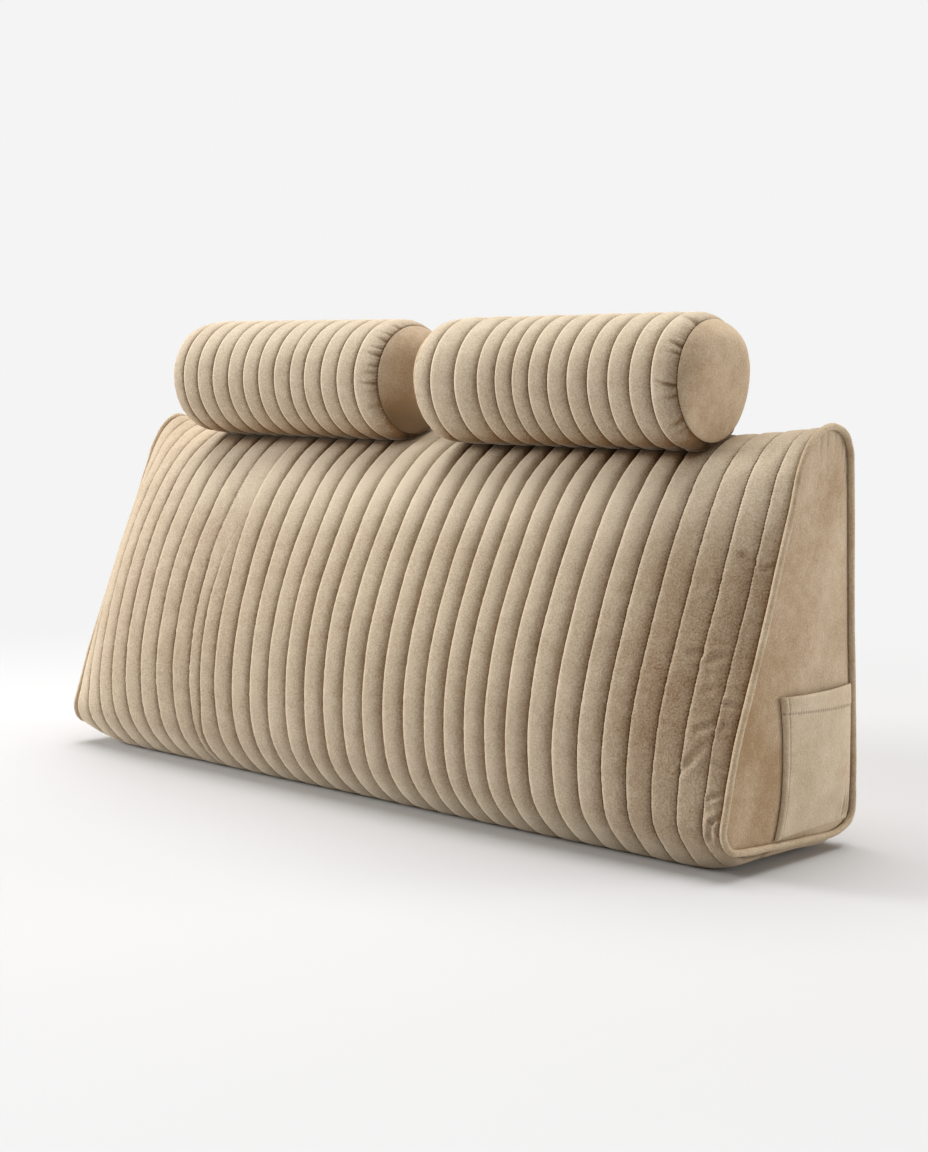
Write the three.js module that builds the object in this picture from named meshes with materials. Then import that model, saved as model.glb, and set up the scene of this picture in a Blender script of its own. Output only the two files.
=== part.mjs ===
// Wedge reading pillow in channel-quilted velvet, with two bolster headrests along its ridge.
// Millimetres. +X runs along the pillow to the sitter's left, the quilted front faces -Y and +Z is up.
// The base lies on z = 0, and x and y are measured from the middle of the whole pillow's outline.

import * as THREE from 'three';
import { mergeVertices } from 'three/addons/utils/BufferGeometryUtils.js';

// Driving dimensions of the wedge
const LENGTH = 1200; // between the centrelines of the two end pipings
const SHEET = 2.6; // velvet with its backing
const GAP = 0.4; // between one piece and the next
const BULGE_POWER = { left: 7.5, right: 4 }; // how squarely the filling fills out towards each end
const BASE_ROLL = 36; // how far in from each end the base comes down to the floor
const RIB_HEIGHT = 6; // crest of a quilted channel over its stitched grooves

// Stitched channels from the -X end to the +X end, all of one zone alike
const RIB_ZONES = [
  { zone: 'left end', ribs: 8, pitch: 37.7 },
  { zone: 'tuck', ribs: 1, pitch: 23.4 },
  { zone: 'beside the tuck', ribs: 1, pitch: 31.1 },
  { zone: 'left half', ribs: 11, pitch: 36.8 },
  { zone: 'right of middle', ribs: 5, pitch: 33.3 },
  { zone: 'right half', ribs: 2, pitch: 36.3 },
  { zone: 'right end', ribs: 5, pitch: 33.7 },
  { zone: 'beside the right piping', ribs: 1, pitch: 22.4 },
];

// Across one rib: share of its width, and share of its height there
const RIB_STEPS = [
  { across: 0, height: 0 },
  { across: 0.14, height: 0.6 },
  { across: 0.5, height: 1 },
  { across: 0.86, height: 0.6 },
];

// The wedge's section, from the seam under the front, up the front, over the ridge and down the back.
// end is its outline at the piping and mid is its outline at half length, as depth y and height z.
// rib is the share of the rib height, settle is how much the row follows the base's quick roll
// at the ends, and panel is true where a plain panel lies over the filled body.
const SECTION = [
  { place: 'base seam', endY: -30, endZ: 27, midY: -40, midZ: 0, rib: 0, settle: 1, panel: false },
  { place: 'base front', endY: -72, endZ: 30, midY: -76, midZ: 2, rib: 0.2, settle: 1, panel: false },
  { place: 'turn under', endY: -104, endZ: 36, midY: -108, midZ: 27, rib: 0.7, settle: 0.5, panel: false },
  { place: 'toe', endY: -118, endZ: 54, midY: -129, midZ: 60, rib: 1, settle: 0, panel: false },
  { place: 'foot', endY: -112, endZ: 88, midY: -139, midZ: 104, rib: 1, settle: 0, panel: false },
  { place: 'shin', endY: -95, endZ: 150, midY: -139, midZ: 165, rib: 1, settle: 0, panel: false },
  { place: 'belly', endY: -70, endZ: 212, midY: -128, midZ: 226, rib: 1, settle: 0, panel: false },
  { place: 'chest', endY: -42, endZ: 282, midY: -107, midZ: 287, rib: 1, settle: 0, panel: false },
  { place: 'neck', endY: -17, endZ: 350, midY: -77, midZ: 350, rib: 1, settle: 0, panel: false },
  { place: 'collar', endY: 6, endZ: 410, midY: -40, midZ: 408, rib: 1, settle: 0, panel: false },
  { place: 'shoulder', endY: 20, endZ: 452, midY: -2, midZ: 445, rib: 0.9, settle: 0, panel: false },
  { place: 'brow', endY: 44, endZ: 484, midY: 34, midZ: 464, rib: 0.7, settle: 0, panel: false },
  { place: 'ridge', endY: 80, endZ: 498, midY: 76, midZ: 474, rib: 0.6, settle: 0, panel: false },
  { place: 'rear brow', endY: 110, endZ: 489, midY: 107, midZ: 466, rib: 0.5, settle: 0, panel: false },
  { place: 'top seam', endY: 122, endZ: 468, midY: 121, midZ: 446, rib: 0, settle: 0, panel: false },
  { place: 'back top', endY: 123, endZ: 462, midY: 123, midZ: 440, rib: 0, settle: 0, panel: true },
  { place: 'back waist', endY: 131, endZ: 280, midY: 139, midZ: 262, rib: 0, settle: 0, panel: true },
  { place: 'back foot', endY: 142, endZ: 80, midY: 145, midZ: 62, rib: 0, settle: 0, panel: true },
  { place: 'heel', endY: 139, endZ: 36, midY: 140, midZ: 16, rib: 0, settle: 0.5, panel: true },
  { place: 'base rear', endY: 112, endZ: 22, midY: 112, midZ: 0, rib: 0, settle: 1, panel: true },
  { place: 'base middle', endY: 40, endZ: 23, midY: 36, midZ: 0, rib: 0, settle: 1, panel: true },
  { place: 'base edge', endY: -24, endZ: 26.5, midY: -34, midZ: 0, rib: 0, settle: 1, panel: true },
];
const ROW = Object.fromEntries(SECTION.map((row, index) => [row.place, index]));

// How much further back the front's rows lie at the -X end, where the filling has settled
const LEFT_SETBACK = {
  toe: 5, foot: 9, shin: 14, belly: 15, chest: 18, neck: 25, collar: 29, shoulder: 31, brow: 26, ridge: 10,
};

// End panels, inside the piping
const PIPING_RADIUS = 4.5;
const PIPING_SIDES = 6;
const PIPING_STEPS = 2; // steps of the piping for each row of the section
const PANEL_INSET = PIPING_RADIUS + 0.5;
const PANEL_CROWN = 4; // how far the filling bows each end panel out
const PANEL_RINGS = [0.4, 0.75, 1]; // rings of points, as shares of the panel's half width
const PANEL_CENTRE = { y: 40, z: 210 };
const BODY_END = LENGTH / 2 - PIPING_RADIUS - GAP;

// Patch pocket on the +X end panel
const POCKET = {
  cols: 8,
  rows: 8,
  standOff: 10, // how far the mouth stands away from the panel
  front: [[-10, 196], [14, 92], [-22, 34]], // curve of its folded front edge, top to bottom, as y, z
  rear: [[130, 196], [137.5, 60], [127, 35]], // curve of its rear edge beside the piping
};

// Bolsters: round quilted rolls with a domed disc at each end
const BOLSTER = {
  length: 404, // between its two end seams
  ribs: 13,
  crestRadius: 81.5,
  grooveRadius: 76.5,
  seamRadius: 72,
  dome: 18, // how far each end disc bows out
  around: 20,
};
const BOLSTER_STEPS = [
  { across: 0, height: 0 },
  { across: 0.22, height: 0.85 },
  { across: 0.78, height: 0.85 },
];
const BOLSTER_PLACES = [
  { side: 'left', x: -221, y: 24, z: 549.5, turn: 2.2, rise: -0.33 },
  { side: 'right', x: 269, y: 20, z: 548.5, turn: 2.2, rise: 0.28 },
];
const DISC_RINGS = [0.45, 0.8, 1];
const SEAT_GAP = 1; // between a bolster's underside and the crests that it lies on

// Colours of the cloth
const COLOURS = { quilted: 0xbda688, plain: 0xc0aa8c, piping: 0xc8b394 };

function clothMaterial(colour) {
  return new THREE.MeshStandardMaterial({ color: colour, roughness: 0.92, metalness: 0 });
}

// Merges shared points, drops empty triangles and turns the faces outward
function closedSolid(geometry) {
  geometry.deleteAttribute('normal');
  geometry.deleteAttribute('uv');
  const merged = mergeVertices(geometry, 1e-4);
  const points = merged.attributes.position;
  const corner = (index) => new THREE.Vector3().fromBufferAttribute(points, index);
  const faces = [];
  let volume = 0;
  for (let f = 0; f < merged.index.count; f += 3) {
    const [a, b, c] = [0, 1, 2].map((k) => merged.index.getX(f + k));
    if (a === b || b === c || c === a) continue;
    faces.push([a, b, c]);
    volume += corner(a).dot(corner(b).cross(corner(c)));
  }
  merged.setIndex(faces.flatMap(([a, b, c]) => (volume > 0 ? [a, b, c] : [a, c, b])));
  merged.computeVertexNormals();
  return merged;
}

// A solid wound round a line: station j runs along it and step i goes round it.
// The first and the last station are the two poles.
function woundSolid(stations, around, place) {
  const profile = Array.from({ length: stations }, (_, j) => new THREE.Vector2(1, j));
  const geometry = new THREE.LatheGeometry(profile, around);
  for (let i = 0; i <= around; i++) {
    for (let j = 0; j < stations; j++) {
      geometry.attributes.position.setXYZ(i * stations + j, ...place(i % around, j));
    }
  }
  return closedSolid(geometry);
}

// A ring-shaped solid: step i goes along the closed loop and side j goes round its section
function loopSolid(along, sides, place) {
  const geometry = new THREE.TorusGeometry(10, 1, sides, along);
  for (let j = 0; j <= sides; j++) {
    for (let i = 0; i <= along; i++) {
      geometry.attributes.position.setXYZ(j * (along + 1) + i, ...place(i % along, j % sides));
    }
  }
  return closedSolid(geometry);
}

// A sheet with two faces: u and v run 0 to 1 over it and w is 0 on its inner face and 1 on its outer one
function sheetSolid(cols, rows, place) {
  const geometry = new THREE.BoxGeometry(1, 1, 1, cols, rows, 1);
  const points = geometry.attributes.position;
  for (let k = 0; k < points.count; k++) {
    points.setXYZ(k, ...place(points.getX(k) + 0.5, points.getY(k) + 0.5, points.getZ(k) + 0.5));
  }
  return closedSolid(geometry);
}

// Grooves and crests along the wedge, as x with the share of the rib height there
function ribColumns() {
  const widths = RIB_ZONES.flatMap((zone) => Array(zone.ribs).fill(zone.pitch));
  const spare = (2 * BODY_END - widths.reduce((sum, width) => sum + width, 0)) / widths.length;
  const columns = [];
  let x = -BODY_END;
  for (const width of widths.map((value) => value + spare)) {
    for (const step of RIB_STEPS) columns.push({ x: x + width * step.across, height: step.height });
    x += width;
  }
  columns.push({ x: BODY_END, height: 0 });
  return columns;
}

// How far the filling has come out at x, from 0 at the piping to 1 at half length
function broadShare(x) {
  return 1 - Math.min(1, Math.abs((2 * x) / LENGTH)) ** (x < 0 ? BULGE_POWER.left : BULGE_POWER.right);
}

// How far the base has come down at x, from 0 at the piping to 1 where it lies on the floor
function rollShare(x) {
  const left = Math.max(0, 1 - (LENGTH / 2 - Math.abs(x)) / BASE_ROLL);
  return Math.sqrt(1 - Math.min(1, left) ** 2);
}

// The closed section curve at x
function sectionCurve(x) {
  const rows = SECTION.map((row) => {
    const share = THREE.MathUtils.lerp(broadShare(x), rollShare(x), row.settle);
    const endY = row.endY + (x < 0 ? (LEFT_SETBACK[row.place] ?? 0) : 0);
    const y = THREE.MathUtils.lerp(endY, row.midY, share);
    return new THREE.Vector3(0, y, THREE.MathUtils.lerp(row.endZ, row.midZ, share));
  });
  return new THREE.CatmullRomCurve3(rows, true, 'centripetal');
}

// A point on a section curve at row position s, moved out from the curve by `out`.
// The floor flattens whatever would sag below it.
function onSection(curve, x, s, out = 0) {
  const t = (s / SECTION.length) % 1;
  const point = curve.getPoint(t);
  const tangent = curve.getTangent(t);
  const height = Math.max(0, point.z) + tangent.y * out;
  return [x, point.y - tangent.z * out, Math.max(0, height)];
}

const COLUMNS = ribColumns();
const CURVES = COLUMNS.map((column) => sectionCurve(column.x));
const END_CURVES = { '-1': sectionCurve(-LENGTH / 2), 1: sectionCurve(LENGTH / 2) };

// A point of an end panel's surface, at row s and ring `share`, `depth` in from the wedge's end plane
function onPanel(side, s, share, depth) {
  const [, y, z] = onSection(END_CURVES[side], 0, s, -PANEL_INSET);
  const crown = PANEL_CROWN * (1 - share * share);
  return [
    side * (BODY_END + depth + crown),
    THREE.MathUtils.lerp(PANEL_CENTRE.y, y, share),
    THREE.MathUtils.lerp(PANEL_CENTRE.z, z, share),
  ];
}

// The filled wedge: quilted cover over the filling, with its two ends closed under the end panels
function wedgeBody() {
  const cap = [0, ...PANEL_RINGS];
  const stations = COLUMNS.length + 2 * cap.length;
  return woundSolid(stations, SECTION.length, (i, j) => {
    if (j < cap.length) return onPanel(-1, i, cap[j], 0);
    if (j >= stations - cap.length) return onPanel(1, i, cap[stations - 1 - j], 0);
    const column = COLUMNS[j - cap.length];
    const row = SECTION[i];
    const out = row.panel ? -(SHEET + GAP) : RIB_HEIGHT * row.rib * column.height;
    return onSection(CURVES[j - cap.length], column.x, i, out);
  });
}

function endPanel(side) {
  const rings = [0, ...PANEL_RINGS];
  const stations = 2 * rings.length;
  return woundSolid(stations, SECTION.length, (i, j) => {
    const outer = j >= rings.length;
    const share = outer ? rings[stations - 1 - j] : rings[j];
    return onPanel(side, i, share, outer ? GAP + SHEET : GAP);
  });
}

function endPiping(side) {
  const steps = SECTION.length * PIPING_STEPS;
  return loopSolid(steps, PIPING_SIDES, (i, j) => {
    const angle = (2 * Math.PI * j) / PIPING_SIDES;
    const [, y, z] = onSection(END_CURVES[side], 0, i / PIPING_STEPS, PIPING_RADIUS * Math.cos(angle));
    return [side * (LENGTH / 2) + PIPING_RADIUS * Math.sin(angle), y, z];
  });
}

// A plain panel over the filled body, from row `from` to row `to`, on the body's own columns near its ends
function plainPanel(from, to, rows) {
  const picked = COLUMNS.filter((column, k) => {
    const nearEnd = Math.abs(column.x) > LENGTH / 2 - 2 * BASE_ROLL;
    return nearEnd || k % (2 * RIB_STEPS.length) === 0;
  });
  return sheetSolid(picked.length - 1, rows, (u, v, w) => {
    const x = picked[Math.round(u * (picked.length - 1))].x;
    const s = Math.max(from, THREE.MathUtils.lerp(Math.floor(from), to, v));
    return onSection(sectionCurve(x), x, s, (w - 1) * SHEET);
  });
}

// Depth of the +X end panel's bow at a point of the end plane, from how near it is to the panel's edge
function panelCrown(y, z) {
  const from = new THREE.Vector2(y - PANEL_CENTRE.y, z - PANEL_CENTRE.z);
  let reach = Infinity;
  for (let s = 0; s < SECTION.length; s++) {
    const [a, b] = [s, s + 1].map((row) => {
      const [, edgeY, edgeZ] = onSection(END_CURVES[1], 0, row, -PANEL_INSET);
      return new THREE.Vector2(edgeY - PANEL_CENTRE.y, edgeZ - PANEL_CENTRE.z);
    });
    const edge = b.clone().sub(a);
    const across = from.cross(edge);
    const along = a.cross(edge) / across;
    const share = a.cross(from) / across;
    if (along > 0 && share >= -1e-6 && share <= 1 + 1e-6) reach = Math.min(reach, along);
  }
  return PANEL_CROWN * (1 - Math.min(1, 1 / reach) ** 2);
}

function pocketEdge(points) {
  return new THREE.QuadraticBezierCurve(...points.map(([y, z]) => new THREE.Vector2(y, z)));
}

// The pocket: sewn flat at its front, rear and foot, and standing off at its mouth
function sidePocket() {
  const front = pocketEdge(POCKET.front);
  const rear = pocketEdge(POCKET.rear);
  return sheetSolid(POCKET.cols, POCKET.rows, (u, v, w) => {
    const at = front.getPoint(1 - v).lerp(rear.getPoint(1 - v), u);
    const lift = POCKET.standOff * Math.sin(Math.PI * u) ** 0.7 * v ** 0.8;
    const seat = BODY_END + GAP + SHEET + panelCrown(at.x, at.y) + 2 * GAP;
    return [seat + lift + w * SHEET, at.x, at.y];
  });
}

// The crests' height at x, y on top of the wedge
function crestHeight(x, y) {
  const curve = sectionCurve(x);
  let height = 0;
  for (let s = ROW.collar; s < ROW['back top']; s += 0.25) {
    const row = SECTION[Math.floor(s)];
    const [, y0, z0] = onSection(curve, x, s, RIB_HEIGHT * row.rib);
    const [, y1, z1] = onSection(curve, x, s + 0.25, RIB_HEIGHT * row.rib);
    if (y >= y0 && y <= y1) height = Math.max(height, THREE.MathUtils.mapLinear(y, y0, y1, z0, z1));
  }
  return height;
}

// The domed disc's profile: x out from the end seam at ring `share`
function domeOut(share) {
  return BOLSTER.dome * (1 - share * share);
}

// Stations along a bolster, from its -X pole to its +X pole, as x and radius
function bolsterStations() {
  const half = BOLSTER.length / 2;
  const rib = BOLSTER.length / BOLSTER.ribs;
  const end = [0, ...DISC_RINGS].map((share) => {
    return { x: half + domeOut(share), radius: BOLSTER.seamRadius * share };
  });
  const stations = end.map(({ x, radius }) => ({ x: -x, radius }));
  for (let k = 0; k < BOLSTER.ribs; k++) {
    for (const step of BOLSTER_STEPS) {
      const edge = k === 0 && step.across === 0;
      const radius = THREE.MathUtils.lerp(BOLSTER.grooveRadius, BOLSTER.crestRadius, step.height);
      if (!edge) stations.push({ x: -half + rib * (k + step.across), radius });
    }
  }
  return [...stations, ...end.reverse()];
}

// Moves a point of a bolster from its own frame to the pillow's
function bolsterPlace(place) {
  const turn = THREE.MathUtils.degToRad(place.turn);
  const rise = THREE.MathUtils.degToRad(-place.rise);
  const matrix = new THREE.Matrix4().makeRotationFromEuler(new THREE.Euler(0, rise, turn, 'ZYX'));
  return matrix.setPosition(place.x, place.y, place.z);
}

// The filled roll, its underside seated on the wedge's crests
function bolsterBody(place) {
  const stations = bolsterStations();
  const matrix = bolsterPlace(place);
  return woundSolid(stations.length, BOLSTER.around, (i, j) => {
    const angle = (2 * Math.PI * i) / BOLSTER.around;
    const { x, radius } = stations[j];
    const point = new THREE.Vector3(x, radius * Math.cos(angle), radius * Math.sin(angle));
    point.applyMatrix4(matrix);
    const seat = crestHeight(point.x, point.y) + SEAT_GAP;
    if (point.z < place.z) point.z = Math.max(point.z, seat);
    return point.toArray();
  });
}

// The disc sewn into a bolster's end, a thin sheet over the filling's dome
function bolsterDisc(place, side) {
  const rings = [0, ...DISC_RINGS];
  const matrix = bolsterPlace(place);
  return woundSolid(2 * rings.length, BOLSTER.around, (i, j) => {
    const outer = j >= rings.length;
    const share = outer ? rings[2 * rings.length - 1 - j] : rings[j];
    const angle = (2 * Math.PI * i) / BOLSTER.around;
    const radius = (BOLSTER.seamRadius - GAP) * share;
    const x = side * (BOLSTER.length / 2 + domeOut(share) + GAP + (outer ? SHEET : 0));
    const point = new THREE.Vector3(x, radius * Math.cos(angle), radius * Math.sin(angle));
    return point.applyMatrix4(matrix).toArray();
  });
}

const pillow = new THREE.Group();

function add(name, geometry, colour) {
  const mesh = new THREE.Mesh(geometry, clothMaterial(colour));
  mesh.name = name;
  pillow.add(mesh);
}

const SEAM_SPLIT = 0.03; // rows between the back panel's foot and the base panel
add('wedge_body', wedgeBody(), COLOURS.quilted);
add('back_panel', plainPanel(ROW['back top'], ROW.heel, 6), COLOURS.plain);
add('base_panel', plainPanel(ROW.heel + SEAM_SPLIT, ROW['base edge'], 6), COLOURS.plain);
for (const [name, side] of [['left', -1], ['right', 1]]) {
  add(`end_panel_${name}`, endPanel(side), COLOURS.plain);
  add(`piping_${name}`, endPiping(side), COLOURS.piping);
}
add('side_pocket', sidePocket(), COLOURS.plain);
for (const place of BOLSTER_PLACES) {
  add(`bolster_${place.side}`, bolsterBody(place), COLOURS.quilted);
  add(`bolster_${place.side}_disc_left`, bolsterDisc(place, -1), COLOURS.plain);
  add(`bolster_${place.side}_disc_right`, bolsterDisc(place, 1), COLOURS.plain);
}

// The origin is the middle of the outline, at the height of the base
const outline = new THREE.Box3().setFromObject(pillow);
const middle = outline.getCenter(new THREE.Vector3());
pillow.position.set(-middle.x, -middle.y, -outline.min.z);

export default pillow;
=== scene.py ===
"""Wedge reading pillow in channel-quilted velvet: its finished cloth, the light and the camera.

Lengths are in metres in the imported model's frame. Sizes given in millimetres end in _mm or are
passed through mm(). +X runs to the end with the pocket, the quilted front faces -Y and +Z is up.
"""

import logging
import math
from collections.abc import Sequence
from dataclasses import dataclass, field
from enum import Enum, IntEnum

import bpy
import numpy as np
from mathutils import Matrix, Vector


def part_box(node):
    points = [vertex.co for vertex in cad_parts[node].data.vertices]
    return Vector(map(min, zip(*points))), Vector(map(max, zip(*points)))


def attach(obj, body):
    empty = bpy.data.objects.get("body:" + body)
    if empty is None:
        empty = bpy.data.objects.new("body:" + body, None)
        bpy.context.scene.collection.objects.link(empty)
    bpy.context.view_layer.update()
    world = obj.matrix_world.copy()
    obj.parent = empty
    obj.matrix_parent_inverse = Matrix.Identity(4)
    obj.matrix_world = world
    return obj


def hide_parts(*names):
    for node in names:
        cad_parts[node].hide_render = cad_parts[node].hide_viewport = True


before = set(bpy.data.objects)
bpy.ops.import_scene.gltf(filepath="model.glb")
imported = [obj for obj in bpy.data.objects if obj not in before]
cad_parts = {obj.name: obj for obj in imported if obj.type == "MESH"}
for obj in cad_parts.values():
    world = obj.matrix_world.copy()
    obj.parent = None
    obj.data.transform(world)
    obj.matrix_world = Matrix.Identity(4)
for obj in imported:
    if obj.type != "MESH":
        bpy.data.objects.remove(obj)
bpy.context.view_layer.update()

LOG = logging.getLogger("pillow")
Array = np.ndarray
Faces = list[tuple[int, ...]]
Pair = tuple[float, float]
BODY = "root"

# Rings of points between a padded form's pole and its side.
CAP_RINGS = 3

# A stuffed channel: the share of its width at which its crest stands, and how squarely and how
# fully its left and its right flank rise to it.
CREST = 0.42
SQUARENESS = (4.6, 2.7)
FULLNESS = (0.5, 0.58)

# Painted light on a channel's flanks: how much paler the left one is painted, with the place and
# width of that band, and how much darker the right one is painted as shade, with the shares of the
# channel between which it turns so.
PAINTED_FLANK_LIGHT, FLANK_LIGHT_PLACE, FLANK_LIGHT_WIDTH = 0.26, 0.07, 0.07
PAINTED_FLANK_SHADE, FLANK_SHADE_FROM, FLANK_SHADE_TO = 0.22, 0.8, 0.97


def mm(value: float) -> float:
    """Millimetres as metres."""
    return value * 0.001


def linear_colour(code: str) -> tuple[float, float, float, float]:
    """Turns an sRGB hex colour into Blender's linear one.

    Args:
        code: the colour as "#rrggbb".

    Returns:
        Linear red, green and blue, with an alpha of 1.
    """
    channels = [int(code[k:k + 2], 16) / 255 for k in (1, 3, 5)]
    straight = [c / 12.92 if c <= 0.04045 else ((c + 0.055) / 1.055) ** 2.4 for c in channels]
    return (*straight, 1.0)


class Side(Enum):
    """The two ends of the pillow, or of one bolster."""

    LEFT = -1
    RIGHT = 1

    @property
    def word(self) -> str:
        """The side's name as the pieces' names have it."""
        return self.name.lower()


class Held(Enum):
    SEWN_TIGHT = "stretched"
    SEWN_SLACK = "laid"


class Seed(IntEnum):
    """Where the random draws of each unevenness start."""

    LUMPS = 3
    WAVES = 5
    WANDER = 11
    PUCKERS = 13
    BACK = 15
    BASE = 16
    END_SLACK = 21
    END_RIPPLES = 27
    PIPING = 31
    POCKET = 41
    BOLSTER_LUMPS = 51
    GATHERS = 61
    DISC = 71
    END_NAP = 83


# Shape helpers


def swell(u: Array, v: Array, size: float, seed: int) -> Array:
    """Smooth unevenness over a surface, as filling or slack cloth gives it.

    Args:
        u: first surface coordinate.
        v: second surface coordinate, of the same shape.
        size: usual distance from one swelling to the next.
        seed: picks one pattern.

    Returns:
        Heights from about -1 to 1.
    """
    draw = np.random.RandomState(seed)
    waves = 7
    total = np.zeros(np.broadcast(u, v).shape)
    for _ in range(waves):
        angle, phase = draw.uniform(0, 2 * math.pi, 2)
        stretch = draw.uniform(0.75, 1.5)
        along = (u * math.cos(angle) + v * math.sin(angle)) / (size * stretch)
        total += np.cos(2 * math.pi * along + phase)
    return total / math.sqrt(2 * waves)


def smooth_step(value: Array, low: float, high: float) -> Array:
    """A soft step from 0 at `low` to 1 at `high`."""
    share = np.clip((value - low) / (high - low), 0, 1)
    return share * share * (3 - 2 * share)


def cosine_steps(count: int) -> Array:
    """Shares from 0 up to but without 1, close together near both."""
    return 0.5 - 0.5 * np.cos(math.pi * np.arange(count) / count)


def channel_profile(share: Array) -> Array:
    """Height of a stuffed channel, 1 at its crest and 0 at its stitches.

    Its left flank stands steep and its right one is rounder.

    Args:
        share: place across the channel, from 0 to 1.

    Returns:
        The height at each place.
    """
    left = share < CREST
    across = np.where(left, 1 - share / CREST, (share - CREST) / (1 - CREST))
    return (1 - np.clip(across, 0, 1) ** np.where(left, *SQUARENESS)) ** np.where(left, *FULLNESS)


def painted_flank_light(share: Array, full: Array | float) -> Array:
    """Painted light on a channel's flanks: a painted highlight on the left one, painted shade on the right.

    Args:
        share: place across the channel, from 0 to 1.
        full: relief of the channel.

    Returns:
        The painted light at each place.
    """
    pale = PAINTED_FLANK_LIGHT * np.exp(-((share - FLANK_LIGHT_PLACE) / FLANK_LIGHT_WIDTH) ** 2)
    return full * (pale - PAINTED_FLANK_SHADE * smooth_step(share, FLANK_SHADE_FROM, FLANK_SHADE_TO))


def stitch_pinch(share: Array) -> Array:
    """How far the thread draws the cloth in, right at a channel's stitches."""
    return mm(0.8) * smooth_step(np.abs(2 * share - 1), 0.95, 1.0)


class ClosedCurves:
    """Closed smooth curves through rows of points, one curve for each place along the pillow.

    They are centripetal splines, which keep to the points also where these stand unevenly.
    """

    def __init__(self, knots: Array) -> None:
        """Keeps the points that the curves pass through.

        Args:
            knots: places by rows by (y, z).
        """
        self.knots = knots

    def at(self, s: Array) -> tuple[Array, Array]:
        """Points and directions on the curves.

        Args:
            s: row positions, where a whole number is a row.

        Returns:
            Points and unit tangents, each places by positions by (y, z).
        """
        count = self.knots.shape[1]
        index = np.floor(s).astype(int)
        t = (s - index)[None, :, None]
        p0, p1, p2, p3 = (self.knots[:, (index + k) % count] for k in (-1, 0, 1, 2))
        d0, d1, d2 = (
            np.sqrt(np.linalg.norm(b - a, axis=2, keepdims=True))
            for a, b in ((p0, p1), (p1, p2), (p2, p3))
        )
        m1 = ((p1 - p0) / d0 - (p2 - p0) / (d0 + d1) + (p2 - p1) / d1) * d1
        m2 = ((p2 - p1) / d1 - (p3 - p1) / (d1 + d2) + (p3 - p2) / d2) * d1
        c2 = 3 * (p2 - p1) - 2 * m1 - m2
        c3 = 2 * (p1 - p2) + m1 + m2
        points = p1 + t * (m1 + t * (c2 + t * c3))
        slopes = m1 + t * (2 * c2 + t * 3 * c3)
        return points, slopes / np.linalg.norm(slopes, axis=2, keepdims=True)


# Mesh helpers


@dataclass
class Cloth:
    """Points and faces of one piece, with what its finish needs to know at each point.

    Attributes:
        points: places of the points.
        faces: corners of the faces.
        seam: distance from each point to the nearest line of stitches.
        run: distance along that line.
        nap: painted light and shade, with some of the cloth's own tone: how much paler, or darker below 0.
    """

    points: Array
    faces: Faces
    seam: Array | None = None
    run: Array | None = None
    nap: Array | None = None

    def outward(self) -> None:
        """Turns the faces so that they look out of the closed form."""
        volume = 0.0
        for face in self.faces:
            a, b, c = (self.points[face[k]] for k in (0, 1, 2))
            volume += float(a @ np.cross(b, c))
            if len(face) == 4:
                volume += float(a @ np.cross(c, self.points[face[3]]))
        if volume < 0:
            self.faces = [tuple(reversed(face)) for face in self.faces]


def wound(stations: Array) -> tuple[Array, Faces]:
    """A closed form wound round a line, whose first and last stations are its poles.

    Args:
        stations: stations by steps round by (x, y, z).

    Returns:
        Its points and faces.
    """
    count, around = stations.shape[:2]
    inner = stations[1:-1].reshape(-1, 3)
    points = np.concatenate([stations[0, :1], inner, stations[-1, :1]])
    last = len(points) - 1
    turn = np.roll(np.arange(around), -1)
    faces = [(0, 1 + int(turn[i]), 1 + i) for i in range(around)]
    for j in range(count - 3):
        low, high = 1 + j * around, 1 + (j + 1) * around
        faces += [(low + i, low + int(turn[i]), high + int(turn[i]), high + i) for i in range(around)]
    top = 1 + (count - 3) * around
    faces += [(top + i, top + int(turn[i]), last) for i in range(around)]
    return points, faces


def wound_values(values: Array) -> Array:
    """Values on a wound form's stations, in the order of its points."""
    return np.concatenate([values[0, :1], values[1:-1].reshape(-1), values[-1, :1]])


def capped_values(values: Array, cap: float) -> Array:
    """Values of a wound form between its caps, with one value on both caps.

    Args:
        values: stations by steps round.
        cap: the value on the CAP_RINGS stations at each end.

    Returns:
        The values in the order of the form's points.
    """
    pad = ((CAP_RINGS, CAP_RINGS), (0, 0))
    return wound_values(np.pad(values, pad, constant_values=cap))


def ringed(loops: Array) -> tuple[Array, Faces]:
    """A ring-shaped form, such as a cord round a closed loop.

    Args:
        loops: steps along the loop by steps round its section by (x, y, z).

    Returns:
        Its points and faces.
    """
    along, around = loops.shape[:2]
    faces = []
    for j in range(along):
        here, after = j * around, (j + 1) % along * around
        for i in range(around):
            k = (i + 1) % around
            faces.append((here + i, here + k, after + k, after + i))
    return loops.reshape(-1, 3), faces


def layered(outer: Array, inner: Array) -> tuple[Array, Faces]:
    """A sheet with an outer and an inner face, joined round its rim.

    Args:
        outer: rows by columns by (x, y, z) of the outer face.
        inner: the same for the inner face.

    Returns:
        Its points and faces.
    """
    rows, cols = outer.shape[:2]
    size = rows * cols
    faces = []
    for j in range(rows - 1):
        for i in range(cols - 1):
            a, b = j * cols + i, (j + 1) * cols + i
            faces.append((a, a + 1, b + 1, b))
            faces.append((size + a, size + b, size + b + 1, size + a + 1))
    rim = list(range(cols)) + [j * cols + cols - 1 for j in range(1, rows)]
    rim += [(rows - 1) * cols + i for i in range(cols - 2, -1, -1)]
    rim += [j * cols for j in range(rows - 2, 0, -1)]
    for a, b in zip(rim, rim[1:] + rim[:1]):
        faces.append((b, a, size + a, size + b))
    return np.concatenate([outer.reshape(-1, 3), inner.reshape(-1, 3)]), faces


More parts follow.
